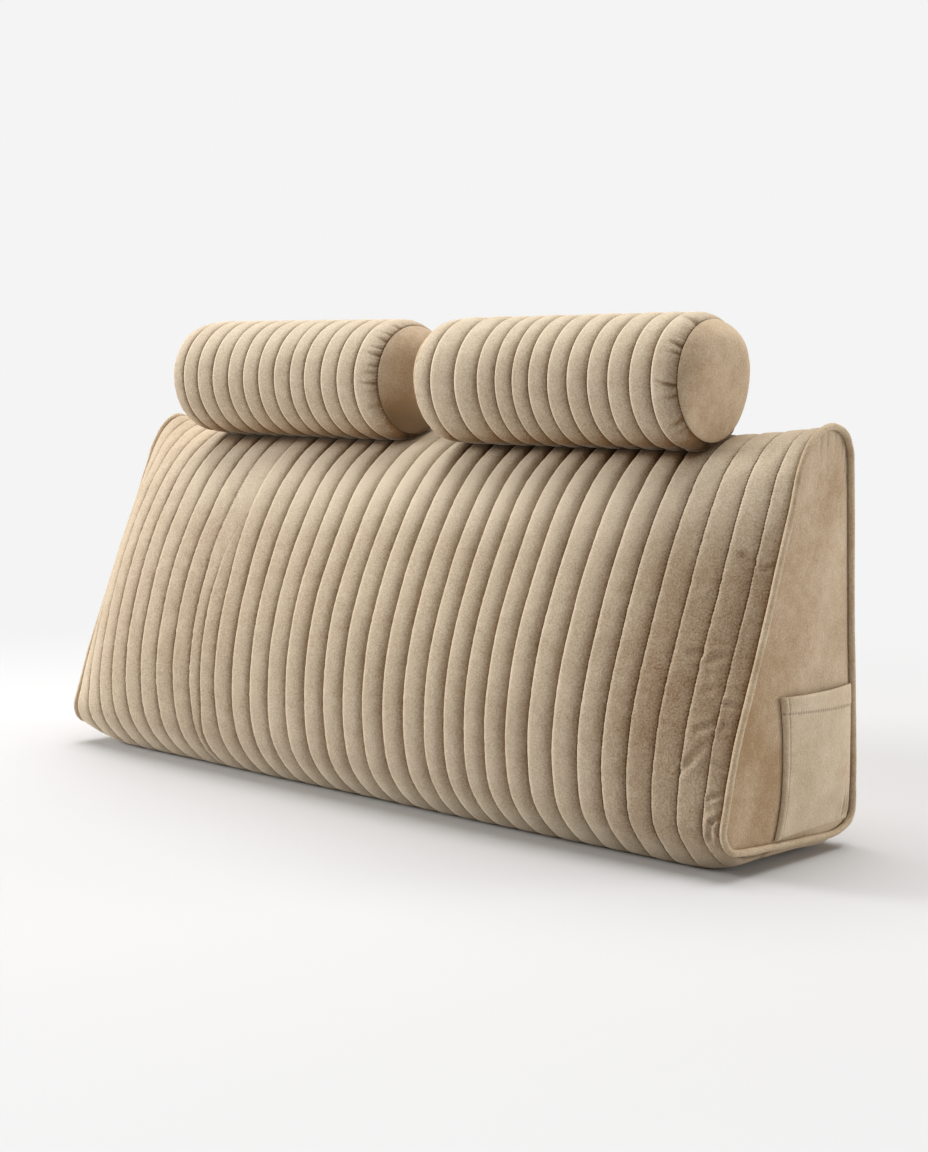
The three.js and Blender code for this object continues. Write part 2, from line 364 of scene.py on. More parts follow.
def cloth_area(grid: Array) -> float:
    """Area of a grid of points.

    Args:
        grid: rows by columns by (x, y, z).

    Returns:
        The area of its quads, each as two triangles.
    """
    a = grid[1:, :-1] - grid[:-1, :-1]
    b = grid[:-1, 1:] - grid[:-1, :-1]
    c = grid[1:, 1:] - grid[:-1, 1:]
    d = grid[1:, 1:] - grid[1:, :-1]
    halves = (np.linalg.norm(np.cross(a, b), axis=2), np.linalg.norm(np.cross(c, d), axis=2))
    return float(sum(half.sum() for half in halves) / 2)


def round_area(rings: Array) -> float:
    """Area of a panel made of rings of points that close on themselves."""
    return cloth_area(np.concatenate([rings, rings[:, :1]], axis=1))


def run_along(points: Array) -> Array:
    """Distance of each point of a line from its first one, along the line."""
    return np.concatenate([[0], np.cumsum(np.linalg.norm(np.diff(points, axis=0), axis=1))])


def add_object(name: str, data: bpy.types.ID) -> bpy.types.Object:
    """Adds an object to the scene.

    Args:
        name: the object's name.
        data: its mesh, light or camera.

    Returns:
        The new object.
    """
    added = bpy.data.objects.new(name, data)
    bpy.context.scene.collection.objects.link(added)
    return added


def add_piece(
    name: str, cloth: Cloth, finish: bpy.types.Material, nodes: Sequence[str],
) -> bpy.types.Object:
    """Makes a piece that stands for CAD nodes and rides on the pillow.

    Args:
        name: the piece's name.
        cloth: its points and faces.
        finish: its material.
        nodes: the CAD nodes that it stands for.

    Returns:
        The new object.
    """
    cloth.outward()
    mesh = bpy.data.meshes.new(name)
    mesh.from_pydata(cloth.points.tolist(), [], cloth.faces)
    mesh.polygons.foreach_set("use_smooth", [True] * len(mesh.polygons))
    for label, values, plain in (
        ("seam", cloth.seam, 1.0), ("run", cloth.run, 0.0), ("nap", cloth.nap, 0.0),
    ):
        filled = np.full(len(cloth.points), plain) if values is None else values
        layer = mesh.attributes.new(label, "FLOAT", "POINT")
        layer.data.foreach_set("value", filled.astype(np.float32))
    mesh.materials.append(finish)
    piece = add_object(name, mesh)
    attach(piece, BODY)
    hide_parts(*nodes)
    LOG.info("%s: %d points, %d faces", name, len(cloth.points), len(cloth.faces))
    return piece


# Finishes


def add_node(
    tree: bpy.types.NodeTree, kind: str, settings: dict | None = None, inputs: dict | None = None,
) -> bpy.types.Node:
    """Adds a shader node with its settings, values and links.

    Args:
        tree: the material's or world's nodes.
        kind: the node's type, without Blender's "ShaderNode" before it.
        settings: attributes of the node itself.
        inputs: for each input, a value or the output that feeds it.

    Returns:
        The new node.
    """
    node = tree.nodes.new(f"ShaderNode{kind}")
    for key, value in (settings or {}).items():
        setattr(node, key, value)
    for key, value in (inputs or {}).items():
        if isinstance(value, bpy.types.NodeSocket):
            tree.links.new(value, node.inputs[key])
        else:
            node.inputs[key].default_value = value
    return node


def empty_tree(owner: bpy.types.Material | bpy.types.World) -> bpy.types.NodeTree:
    """Gives an owner a node tree with nothing in it.

    Args:
        owner: the material or world.

    Returns:
        Its empty tree.
    """
    owner.use_nodes = True
    owner.node_tree.nodes.clear()
    return owner.node_tree


# Painted light: the way the key light comes from, up and towards the left end. Slopes turned that
# way are painted paler, as if lit, and the others darker.
PAINTED_LIGHT_WAY = (-0.72, -0.26, 0.64)


@dataclass(frozen=True)
class Velvet:
    """Short-pile polyester velvet: a knitted ground with a cut pile, brushed one way.

    Light and shade are painted into its colour: slopes that face the key light are painted with the
    pale tips and the others with the deep roots. There are soft patches where a hand brushed it and a
    fine speckle of tufts. It has no gloss, only a pale glow where the cloth turns away. A tone between
    0 and 1 says how much of the tips shows: it starts from `middle`, and the painted slope light, the
    painted light and tone of each point and three patterns add to it.

    Attributes:
        name: the material's name.
        pale: colour of the tips of the pile; also the colour painted on lit slopes.
        deep: colour at its roots; also the colour painted on shaded slopes.
        middle: where level cloth lies between the two.
        painted_slope_light: painted light: how strongly slopes that face PAINTED_LIGHT_WAY are painted paler,
            and the others darker.
        patch: strength of the soft patches.
        patch_mm: their size.
        brush: strength of the marks that a hand leaves.
        brush_mm: their size.
        tuft: strength of the speckle.
        tuft_mm: size of a speckle, five times that of a real tuft so that it shows.
        stitched: whether rows of stitches run over the piece.
        thread: how dark the stitches' holes are; half as much darkens the whole line, partly as thread and
        partly as painted shade in the groove.
        shade_colour: colour of painted shade, which the darkest values turn the cloth towards.
        glow: colour where the cloth turns away.
        stitch_mm: length of a stitch.
        hole: colour in the stitches' holes and along their line, partly thread and partly painted groove
        shade.
    """

    name: str
    pale: str
    deep: str
    middle: float = 0.5
    painted_slope_light: float = 0.0
    patch: float = 0.9
    patch_mm: float = 90
    brush: float = 0.5
    brush_mm: float = 16
    tuft: float = 1.1
    tuft_mm: float = 2.4
    stitched: bool = False
    thread: float = 0.6
    shade_colour: str = "#38240f"
    glow: str = "#fae6c8"
    stitch_mm: float = 4.5
    hole: str = "#4d3a27"

    def material(self) -> bpy.types.Material:
        """Builds the material.

        Returns:
            The new material.
        """
        material = bpy.data.materials.new(self.name)
        tree = empty_tree(material)
        place = add_node(tree, "TexCoord").outputs
        # Painted light: the normal against PAINTED_LIGHT_WAY makes lit slopes paler and shaded ones darker.
        painted_slope_light = add_node(
            tree, "VectorMath", {"operation": "DOT_PRODUCT"}, {0: place["Normal"], 1: PAINTED_LIGHT_WAY},
        ).outputs["Value"]
        # Painted light and shade of each point, with some of the piece's own tone, from its attribute.
        nap = add_node(tree, "Attribute", {"attribute_name": "nap"}).outputs["Fac"]
        level = self.middle - (self.patch + self.brush + self.tuft) / 2
        laid = add_node(tree, "Math", {"operation": "ADD"}, {0: nap, 1: level}).outputs[0]
        tone = add_node(
            tree, "Math", {"operation": "MULTIPLY_ADD"}, {0: painted_slope_light, 1: self.painted_slope_light, 2: laid},
        ).outputs[0]
        patterns = []
        # From the broadest pattern to the finest; the last two also raise the surface a little.
        for size_mm, strength in (
            (self.patch_mm, self.patch), (self.brush_mm, self.brush), (self.tuft_mm, self.tuft),
        ):
            pattern = add_node(
                tree, "TexNoise", {},
                {"Vector": place["Object"], "Scale": 1 / mm(size_mm), "Detail": 2.0, "Roughness": 0.55},
            ).outputs["Fac"]
            tone = add_node(
                tree, "Math", {"operation": "MULTIPLY_ADD"}, {0: pattern, 1: strength, 2: tone},
            ).outputs[0]
            patterns.append(pattern)
        colour = self._result(add_node(
            tree, "Mix", {"data_type": "RGBA"},
            {"Factor": tone, "A": linear_colour(self.deep), "B": linear_colour(self.pale)},
        ))
        # Painted shade: far below zero the colour turns towards the crushed one, beside, under and between
        # the bolsters.
        pressed = add_node(
            tree, "MapRange", {},
            {"Value": nap, "From Min": -0.4, "From Max": -1.2, "To Min": 0.0, "To Max": 0.95},
        ).outputs["Result"]
        colour = self._result(add_node(
            tree, "Mix", {"data_type": "RGBA"},
            {"Factor": pressed, "A": colour, "B": linear_colour(self.shade_colour)},
        ))
        crush = add_node(
            tree, "Bump", {}, {"Strength": 0.3, "Distance": mm(1.5), "Height": patterns[1]},
        ).outputs["Normal"]
        normal = add_node(
            tree, "Bump", {},
            {"Strength": 1.0, "Distance": mm(0.8), "Height": patterns[2], "Normal": crush},
        ).outputs["Normal"]
        if self.stitched:
            colour, normal = self._stitches(tree, colour, normal)
        surface = add_node(
            tree, "BsdfPrincipled", {},
            {
                "Base Color": colour, "Normal": normal, "Roughness": 0.9, "Specular IOR Level": 0.15,
                "Sheen Weight": 0.45, "Sheen Roughness": 0.35, "Sheen Tint": linear_colour(self.glow),
            },
        )
        add_node(tree, "OutputMaterial", {}, {"Surface": surface.outputs["BSDF"]})
        return material

    @staticmethod
    def _result(mix: bpy.types.Node) -> bpy.types.NodeSocket:
        """The colour output of a colour mix, which has outputs of several types by one name."""
        return next(socket for socket in mix.outputs if socket.type == "RGBA")

    def _stitches(
        self, tree: bpy.types.NodeTree, colour: bpy.types.NodeSocket, normal: bpy.types.NodeSocket,
    ) -> tuple[bpy.types.NodeSocket, bpy.types.NodeSocket]:
        """Rows of lock stitches sunk in the pile, with the cloth puckered beside them.

        Args:
            tree: the material's nodes.
            colour: the cloth's colour.
            normal: the cloth's normal.

        Returns:
            The colour and the normal with the stitches.
        """
        seam, run = (
            add_node(tree, "Attribute", {"attribute_name": name}).outputs["Fac"] for name in ("seam", "run")
        )
        turns = add_node(
            tree, "Math", {"operation": "MULTIPLY"}, {0: run, 1: 2 * math.pi / mm(self.stitch_mm)},
        ).outputs[0]
        wave = add_node(tree, "Math", {"operation": "SINE"}, {0: turns}).outputs[0]
        hole = add_node(
            tree, "MapRange", {"interpolation_type": "SMOOTHSTEP"},
            {"Value": wave, "From Min": 0.0, "From Max": 0.6},
        ).outputs["Result"]
        near, beside = (
            add_node(
                tree, "MapRange", {"interpolation_type": "SMOOTHSTEP"},
                {"Value": seam, "From Min": mm(start), "From Max": mm(end), "To Min": 1.0, "To Max": 0.0},
            ).outputs["Result"]
            for start, end in ((0.5, 1.8), (0.8, 6))
        )
        dots = add_node(tree, "Math", {"operation": "MULTIPLY"}, {0: hole, 1: near}).outputs[0]
        shade = add_node(
            tree, "Math", {"operation": "MULTIPLY"}, {0: dots, 1: self.thread},
        ).outputs[0]
        # The whole line is darkened too: partly the thread, partly painted shade at the bottom of the groove.
        line = add_node(
            tree, "Math", {"operation": "MULTIPLY_ADD"}, {0: near, 1: 0.5 * self.thread, 2: shade},
        ).outputs[0]
        dark = add_node(
            tree, "Mix", {"data_type": "RGBA"},
            {"Factor": line, "A": colour, "B": linear_colour(self.hole)},
        )
        pucker = add_node(tree, "Math", {"operation": "MULTIPLY"}, {0: wave, 1: beside}).outputs[0]
        raised = add_node(
            tree, "Bump", {},
            {"Strength": 0.3, "Distance": mm(0.5), "Height": pucker, "Normal": normal},
        ).outputs["Normal"]
        return self._result(dark), raised


# The wedge


@dataclass(frozen=True)
class SectionRow:
    """One row of the wedge's section, in millimetres.

    Attributes:
        place: where it lies.
        end: its (y, z) at the end pipings.
        mid: its (y, z) at half length.
        rib: share of the ribs' height there.
        settle: how much it follows the base's quick roll at the ends.
        left: how much further back and higher it lies at the left end, where the filling has settled.
    """

    place: str
    end: Pair
    mid: Pair
    rib: float = 0.0
    settle: float = 0.0
    left: Pair = (0.0, 0.0)


SECTION = (
    SectionRow("base seam", (-30, 27), (-40, 0), 0, 1),
    SectionRow("base front", (-72, 30), (-76, 2), 0.2, 1),
    SectionRow("turn under", (-104, 36), (-108, 27), 0.7, 0.5),
    SectionRow("toe", (-118, 54), (-129, 60), 1, 0, (5, 0)),
    SectionRow("foot", (-112, 88), (-139, 104), 1, 0, (9, 0)),
    SectionRow("shin", (-95, 150), (-139, 165), 1, 0, (14, 0)),
    SectionRow("belly", (-70, 212), (-128, 226), 1, 0, (15, 0)),
    SectionRow("chest", (-42, 282), (-107, 287), 1, 0, (16, 0)),
    SectionRow("neck", (-17, 350), (-77, 350), 1, 0, (21, 0)),
    SectionRow("collar", (6, 410), (-40, 408), 1, 0, (22, -2)),
    SectionRow("shoulder", (20, 452), (-2, 445), 0.9, 0, (24, -5)),
    SectionRow("brow", (44, 484), (34, 466), 0.7, 0, (21, -8)),
    SectionRow("ridge", (80, 498), (76, 477), 0.6, 0, (8, -9)),
    SectionRow("rear brow", (110, 489), (107, 468), 0.5, 0, (0, -6)),
    SectionRow("top seam", (122, 468), (121, 446)),
    SectionRow("back top", (123, 462), (123, 440)),
    SectionRow("back waist", (131, 280), (139, 262)),
    SectionRow("back foot", (142, 80), (145, 62)),
    SectionRow("heel", (139, 36), (140, 16), 0, 0.5),
    SectionRow("base rear", (112, 22), (112, 0), 0, 1),
    SectionRow("base middle", (40, 23), (36, 0), 0, 1),
    SectionRow("base edge", (-24, 26.5), (-34, 0), 0, 1),
)
ROW = {row.place: index for index, row in enumerate(SECTION)}

# Row positions of the quilted cloth's hidden run, closed under the back and the base panel.
HIDDEN_ROWS = (14.5, 15, 15.5, 16, 16.5, 17, 17.5, 18, 18.5, 19, 20, 21, 21.6)


def rib_share(s: Array) -> Array:
    """Share of the ribs' height at row positions."""
    return np.interp(s, np.arange(len(SECTION)), [row.rib for row in SECTION])


def rows_round(count: int) -> Array:
    """Row positions at even steps round the whole section."""
    return np.arange(count) * len(SECTION) / count


@dataclass(frozen=True)
class RibZone:
    """Channels of one width, from the left end to the right.

    Attributes:
        ribs: how many.
        pitch_mm: width of each.
        relief: share of the full height, where the wadding is flatter.
        nap: painted light: how much paler the channels there are painted, or darker where it is negative.
    """

    ribs: int
    pitch_mm: float
    relief: float = 1.0
    nap: float = 0.0


RIB_ZONES = (
    RibZone(8, 37.7, 0.42, -0.07),
    RibZone(1, 23.4, 0.36, -0.06),
    RibZone(1, 31.1, 0.5, -0.05),
    RibZone(4, 36.8, 0.62, -0.03),
    RibZone(4, 36.8, 0.85),
    RibZone(3, 36.8, 0.95),
    RibZone(5, 33.3),
    RibZone(2, 36.3, 0.8, -0.01),
    RibZone(1, 33.7, 0.6, -0.07),
    RibZone(1, 33.7, 0.45, -0.18),
    RibZone(3, 33.7, 0.25, -0.27),
    RibZone(1, 22.4, 0.22, -0.29),
)


def per_channel(values: Sequence[float]) -> Array:
    """One value for every channel from the left end to the right, from one value for each zone."""
    return np.repeat(values, [zone.ribs for zone in RIB_ZONES])


@dataclass(frozen=True)
class WedgeForm:
    """The wedge's outer form, which all of its pieces follow.

    Attributes:
        length: between the centrelines of the end pipings.
        base_roll: how far in from each end the base comes down to the floor.
        bulge_powers: how squarely the filling fills out towards the left and the right end.
        sheet: thickness of the velvet with its backing.
        gap: between one piece and the next.
        piping_radius: of the corded piping.
        crown: how far the filling bows each end panel out.
        centre: (y, z) of the end panels' middle.
        origin: the frame's (x, y) of the form's own origin.
    """

    length: float = mm(1200)
    base_roll: float = mm(85)
    bulge_powers: Pair = (7.5, 4.0)
    sheet: float = mm(2.6)
    gap: float = mm(0.4)
    piping_radius: float = mm(4.5)
    crown: float = mm(4)
    centre: Pair = (mm(40), mm(210))
    origin: Pair = (0.0, 0.0)

    @classmethod
    def from_frame(cls) -> "WedgeForm":
        """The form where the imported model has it.

        Returns:
            The form, with its origin midway between the end pipings.
        """
        ends = [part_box("piping_left")[0].x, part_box("piping_right")[1].x]
        edge = SECTION[ROW["base edge"]].mid[0]
        return cls(origin=(sum(ends) / 2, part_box("base_panel")[0].y - mm(edge)))

    @property
    def body_end(self) -> float:
        """Where the filled body ends, beside the piping."""
        return self.length / 2 - self.piping_radius - self.gap

    @property
    def panel_inset(self) -> float:
        """From the piping's centreline in to the end panel's edge."""
        return self.piping_radius + mm(0.5)

    def curves(self, x: Array) -> ClosedCurves:
        """The section's curves at places along the pillow.

        Args:
            x: the places, from the middle of the wedge.

        Returns:
            One closed curve for each place.
        """
        far = np.minimum(1, np.abs(2 * x / self.length))
        broad = 1 - far ** np.where(x < 0, *self.bulge_powers)
        left = np.clip(1 - (self.length / 2 - np.abs(x)) / self.base_roll, 0, 1)
        roll = np.sqrt(1 - left ** 2)
        settle = np.array([row.settle for row in SECTION])
        share = (broad[:, None] * (1 - settle) + roll[:, None] * settle)[..., None]
        moved = np.array([row.left for row in SECTION])
        end = np.array([row.end for row in SECTION]) + np.where(x[:, None, None] < 0, moved, 0)
        mid = np.array([row.mid for row in SECTION])
        return ClosedCurves((end * (1 - share) + mid * share) * mm(1))

    def surface(self, x: Array, s: Array, out: Array | float = 0.0) -> Array:
        """Points of the outer form.

        Args:
            x: places along the pillow.
            s: row positions round the section.
            out: how far out of the form they lie, one number or places by positions.

        Returns:
            Places by positions by (x, y, z) in the frame.
        """
        points, tangents = self.curves(x).at(s)
        y = points[..., 0] - tangents[..., 1] * out
        z = np.maximum(0, np.maximum(0, points[..., 1]) + tangents[..., 0] * out)
        along = np.broadcast_to(x[:, None], y.shape)
        return np.stack([along + self.origin[0], y + self.origin[1], z], axis=2)

    def even_rows(self, fine: Array, step: float, more: int = 0) -> tuple[Array, Array]:
        """Row positions at even distances along the cloth at the middle of the pillow.

        Args:
            fine: close row positions from one edge of the cloth to the other.
            step: the distance wanted between two rows.
            more: rows to add to those that fit.

        Returns:
            The positions, and how far each is from the first edge.
        """
        run = run_along(self.surface(np.array([0.0]), fine)[0])
        even = np.linspace(0, run[-1], int(run[-1] / step) + more)
        return np.interp(even, run, fine), even

    def end_outline(self, side: Side, s: Array, out: float) -> Array:
        """Positions by (y, z) of an end's outline in the frame, moved out by `out`."""
        return self.surface(np.array([side.value * self.length / 2]), s, out)[0, :, 1:]


@dataclass(frozen=True)
class Crease:
    """One short crease in the front, across a flat channel.

    Attributes:
        start: its first end as (x, z) in millimetres.
        end: its other end.
        depth_mm: how deep it is.
        width_mm: from its bottom to its lip.
    """

    start: Pair
    end: Pair
    depth_mm: float = 1.3
    width_mm: float = 2.4


CREASES = (
    Crease((556, 356), (572, 347), 2.2, 2.8),
    Crease((586, 340), (592, 344), 2.0, 2.8),
    Crease((527, 246), (540, 248), 1.6, 4),
    Crease((550, 240), (564, 244), 1.6, 4),
    Crease((553, 205), (562, 211), 1.2, 3),
    Crease((578, 195), (594, 191), 2.4, 2.8),
    Crease((582, 172), (593, 168), 1.6, 2.8),
    Crease((553, 165), (570, 172), 2.0, 3.4),
    Crease((546, 126), (564, 149), 1.6, 4),
    Crease((541, 118), (552, 132), 1.2, 3.4),
    Crease((578, 130), (590, 127), 1.5, 2.8),
    Crease((578, 93), (591, 99), 2.2, 2.8),
    Crease((583, 50), (586, 68), 2.2, 2.8),
    Crease((586, 70), (595, 75), 2.4, 2.8),
)


@dataclass(frozen=True)
class Tuck:
    """A line of stitches that runs out upwards, where a narrow channel joins its right neighbour.

    Attributes:
        channel: number of the narrow channel, counted from 0 at the left end.
        stray: heights where the line leaves its course and where it meets the next line.
        close: heights between which the joined channel narrows to the width of the others.
        pinch: heights between which the narrow channel tapers off at its foot.
        narrowed: how much narrower the joined channel becomes.
        spread: how far to each side the other channels make up for that.
        met: share of the two channels at which the stray line ends, beside the next line.
        taper: how much of its width the narrow channel loses at its foot.
        joined_from: how far below the line's stray part the two channels begin to be one.
        joined_by: how far below its end they are one.
    """

    channel: int = 8
    stray: Pair = (mm(225), mm(375))
    close: Pair = (mm(260), mm(400))
    pinch: Pair = (mm(120), mm(30))
    narrowed: float = mm(14)
    spread: float = mm(110)
    met: float = 0.97
    taper: float = 0.5
    joined_from: float = mm(30)
    joined_by: float = mm(40)

    def moved(self, edges: Array, x: Array, z: Array) -> Array:
        """How far the cloth's points lie sideways from their even places.

        Args:
            edges: places of the lines of stitches.
            x: even places of the points.
            z: heights, as places by rows.

        Returns:
            The distances, as places by rows.
        """
        left, line, right = edges[self.channel:self.channel + 3]
        own = (line - left) / (right - left)
        up = np.clip((z - self.stray[0]) / (self.stray[1] - self.stray[0]), 0, 1) ** 2
        down = 1 - smooth_step(z, self.pinch[1], self.pinch[0])
        new = own + (self.met - own) * up - self.taper * own * down
        t = ((x - left) / (right - left))[:, None]
        strayed = np.where(t < own, t / own * new, 1 - (1 - t) / (1 - own) * (1 - new))
        inside = (t > 0) & (t < 1)
        half = self.narrowed / 2
        places = [left - self.spread, left, right, right + self.spread]
        closing = np.interp(x, places, [0, half, -half, 0])
        shift = np.where(inside, (strayed - t) * (right - left), 0)
        return shift + closing[:, None] * smooth_step(z, *self.close)

    def joined(self, z: Array) -> Array:
        """How far the two channels have become one, from 0 to 1."""
        return smooth_step(z, self.stray[0] - self.joined_from, self.stray[1] - self.joined_by)


@dataclass
class QuiltedCover:
    """The channel-quilted cloth over the front, ridge and underside's front edge, with its filling.

    Attributes:
        form: the wedge's form.
        rib_height: how far the crests stand out of the form.
        groove_depth: how far the stitches draw the grooves into it.
        steps: points across one channel.
        row_step: distance between points along a channel.
        tuck: where a narrow channel joins its neighbour.
        lain_on: from where to where along it each bolster lies.
        rest_line: (y, z) of the bolsters' middle line.
        rest_radius: radius of the bolsters.
        last_row: row position of the cloth's upper edge at the back.
        flat_depth: share of the grooves' depth that a channel without relief keeps.
        slacker: how much higher the puckers stand in such a channel.
        flat_under: how flat the bolsters press the channels that they lie on.
        calm_under: how much of the unevenness they press away.
        saddle_at: where along it the filling stands up between the bolsters.
        saddle_width: how far to each side of that.
        saddle_height: how far it stands up.
        lump: height of the filling's lumps.
        pucker: height of the puckers beside the stitches.
        wave: height of the broad unevenness of the front.
        stray: how far the rows of stitches stray sideways.
        edge_dive: how far the cover turns in beside the end pipings.
        painted_top_light: painted light: how much paler the top of the front is painted, under the ridge.
        painted_foot_light: painted light from the floor: the same for the foot, and once more for its lowest
            part.
        painted_bolster_shade: painted shade: how much darker it is painted beside the bolsters, everywhere
            and in the grooves.
        bolster_shade_reach: the distances over which that painted shade fades.
    """

    form: WedgeForm
    rib_height: float = mm(6.5)
    groove_depth: float = mm(4.6)
    steps: int = 12
    row_step: float = mm(3.2)
    tuck: Tuck = Tuck()
    lain_on: tuple[Pair, ...] = ((mm(-426), mm(-20)), (mm(65), mm(473)))
    rest_line: Pair = (mm(22), mm(549))
    rest_radius: float = mm(81)
    last_row: float = float(ROW["top seam"])
    flat_depth: float = 0.3
    slacker: float = 2.2
    flat_under: float = 0.94
    calm_under: float = 0.85
    saddle_at: float = mm(18)
    saddle_width: float = mm(40)
    saddle_height: float = mm(8)
    lump: float = mm(0.55)
    pucker: float = mm(0.35)
    wave: float = mm(1.0)
    stray: float = mm(0.8)
    edge_dive: float = mm(2.5)
    painted_top_light: float = 0.38
    painted_foot_light: Pair = (0.12, 0.3)
    painted_bolster_shade: Pair = (1.7, 1.2)
    bolster_shade_reach: Pair = (mm(11), mm(26))

    def grooves(self) -> tuple[Array, Array]:
        """Where the stitched grooves lie.

        Returns:
            The grooves' x with both ends, and the relief of each channel between them.
        """
        widths = per_channel([mm(zone.pitch_mm) for zone in RIB_ZONES])
        spare = (2 * self.form.body_end - widths.sum()) / len(widths)
        edges = -self.form.body_end + np.concatenate([[0], np.cumsum(widths + spare)])
        return edges, per_channel([zone.relief for zone in RIB_ZONES])

    def build(self) -> Cloth:
        """Makes the cover's mesh, closed under the panels.

        Returns:
            The cover.
        """
        edges, relief = self.grooves()
        s, run = self.form.even_rows(np.linspace(0, self.last_row, 1200), self.row_step)
        across = cosine_steps(self.steps)
        rib = np.repeat(np.arange(len(relief)), self.steps)
        share = np.tile(across, len(relief))
        x = edges[rib] + (edges[rib + 1] - edges[rib]) * share
        rib, share, x = np.append(rib, len(relief) - 1), np.append(share, 1.0), np.append(x, edges[-1])
        z = self.form.surface(x, s)[..., 2]
        moved = self.tuck.moved(edges, x, z)
        out = self._ribs(edges, rib, share, relief, (x[:, None] + moved).T, s, run, z)
        front = self.form.surface(x, s, out)
        front[..., 0] += self._wander(x, run) + moved
        hidden = np.array(HIDDEN_ROWS)
        clear = self.form.sheet + self.form.gap + mm(0.2)
        under = -clear * np.minimum(1, (len(SECTION) - hidden) / 0.9)
        back = self.form.surface(x, hidden, under[None, :] - self._edge_dive(x)[:, None])
        loops = np.concatenate([front, back], axis=1)
        stations = np.concatenate([self._cap(loops[0], -1), loops, self._cap(loops[-1], 1)[::-1]])
        seam = np.minimum(share, 1 - share) * (edges[rib + 1] - edges[rib])
        seam_grid = np.repeat(seam[:, None], loops.shape[1], axis=1)
        # No stitches show where the stray line has ended, so its points are moved away from it.
        beside_line, away = mm(8), mm(20)
        ended = (np.abs(x - edges[self.tuck.channel + 1]) < beside_line)[:, None]
        seam_grid[:, :len(run)] += ended * self.tuck.joined(z) * away
        run_on = run[-1] + np.arange(1, len(hidden) + 1) * mm(5)
        run_grid = np.broadcast_to(np.append(run, run_on), loops.shape[:2])
        # Painted light and shade, one value for each point.
        nap = self._nap(x, share, relief[rib], loops)
        points, faces = wound(stations)
        return Cloth(
            points, faces, capped_values(seam_grid, 1.0), capped_values(run_grid, 0.0),
            capped_values(nap, 0.0),
        )

    def _under(self, x: Array) -> Array:
        """How far places along the pillow lie under a bolster.

        Args:
            x: the places.

        Returns:
            Shares from 0, beside the bolsters, to 1.
        """
        soft = mm(22)
        return sum(
            smooth_step(x, start, start + soft) * (1 - smooth_step(x, end - soft, end))
            for start, end in self.lain_on
        )

    def saddle(self, x: Array, s: Array) -> Array:
        """How far the filling stands up between the two bolsters, as places by rows."""
        between = np.exp(-((x - self.saddle_at) / self.saddle_width) ** 2)
        return self.saddle_height * between[:, None] * np.exp(-((s - ROW["ridge"] - 0.3) / 1.1) ** 2)

    def _nap(self, x: Array, share: Array, full: Array, points: Array) -> Array:
        """Painted light and shade on the front: shade at the right end and by the bolsters, light at top and
        foot.

        Args:
            x: places along the pillow.
            share: place across the channel of each, from 0 to 1.
            full: relief of that channel.
            points: places by rows by (x, y, z) in the frame.

        Returns:
            The painted light and shade of each point.
        """
        edges, _ = self.grooves()
        middles = (edges[1:] + edges[:-1]) / 2
        # Each zone's painted light: the channels at the flat right end are painted darker.
        own = np.interp(x, middles, per_channel([zone.nap for zone in RIB_ZONES]))[:, None]
        y, z = points[..., 1] - self.form.origin[1], points[..., 2]
        # Painted light: paler towards the top of the front.
        high, inward = smooth_step(z, mm(330), mm(430)), smooth_step(x, mm(-560), mm(-300))
        upper = self.painted_top_light * high * inward[:, None]
        # Painted light from the floor: paler towards the foot.
        low, lowest = 1 - smooth_step(z, mm(60), mm(190)), 1 - smooth_step(z, mm(15), mm(60))
        foot = self.painted_foot_light[0] * low + self.painted_foot_light[1] * lowest
        # Painted shade: darker close under the bolsters, and in the grooves a little further off.
        off = np.hypot(y - self.rest_line[0], z - self.rest_line[1]) - self.rest_radius
        close, wide = (np.exp(-np.maximum(0, off) / reach) for reach in self.bolster_shade_reach)
        groove = (1 - channel_profile(share))[:, None]
        beside = self.painted_bolster_shade[0] * close + self.painted_bolster_shade[1] * groove * wide
        beside = beside * self._under(x)[:, None]
        # The flanks add their painted highlight and shade.
        return own + upper + foot + painted_flank_light(share, full)[:, None] - beside

    def _ribs(
        self, edges: Array, rib: Array, share: Array, relief: Array, moved: Array,
        s: Array, run: Array, z: Array,
    ) -> Array:
        """Heights of the cloth over the wedge's form, channel by channel.

        Args:
            edges: places of the lines of stitches.
            rib: number of the channel of each place along the pillow.
            share: place across that channel, from 0 to 1.
            relief: relief of each channel.
            moved: rows by places, where the points have moved to.
            s: row positions.
            run: distance of each row from the base seam.
            z: heights, as places by rows.

        Returns:
            Heights as places by rows.
        """
        x = edges[rib] + (edges[rib + 1] - edges[rib]) * share
        row_share = rib_share(s)
        pillow = np.repeat(channel_profile(share)[:, None], len(s), axis=1)
        full = np.repeat(relief[rib][:, None], len(s), axis=1)
        first = self.tuck.channel
        both = (rib == first) | (rib == first + 1)
        across = (moved.T[both] - edges[first]) / (edges[first + 2] - edges[first])
        joined = self.tuck.joined(z[both])
        one = channel_profile(np.clip(across, 0, 1))
        pillow[both] += (one - pillow[both]) * joined
        rows = smooth_step(s, ROW["shoulder"] + 0.2, ROW["brow"])
        rows = rows * (1 - smooth_step(s, ROW["ridge"], ROW["rear brow"]))
        pressed = self._under(x)[:, None] * rows
        pillow += self.flat_under * (1 - pillow) * pressed
        off_line = np.minimum(share, 1 - share) * (edges[rib + 1] - edges[rib])
        near = np.exp(-(off_line / mm(7)) ** 2)[:, None]
        tall = self.rib_height * full * pillow * row_share
        # A flat channel is also drawn in less at its stitches, and its cloth is slacker.
        drawn_in = self.groove_depth * (self.flat_depth + (1 - self.flat_depth) * full)
        deep = -stitch_pinch(share)[:, None] - drawn_in * (1 - pillow)
        slack = 1 + self.slacker * np.clip(0.6 - full, 0, 1)
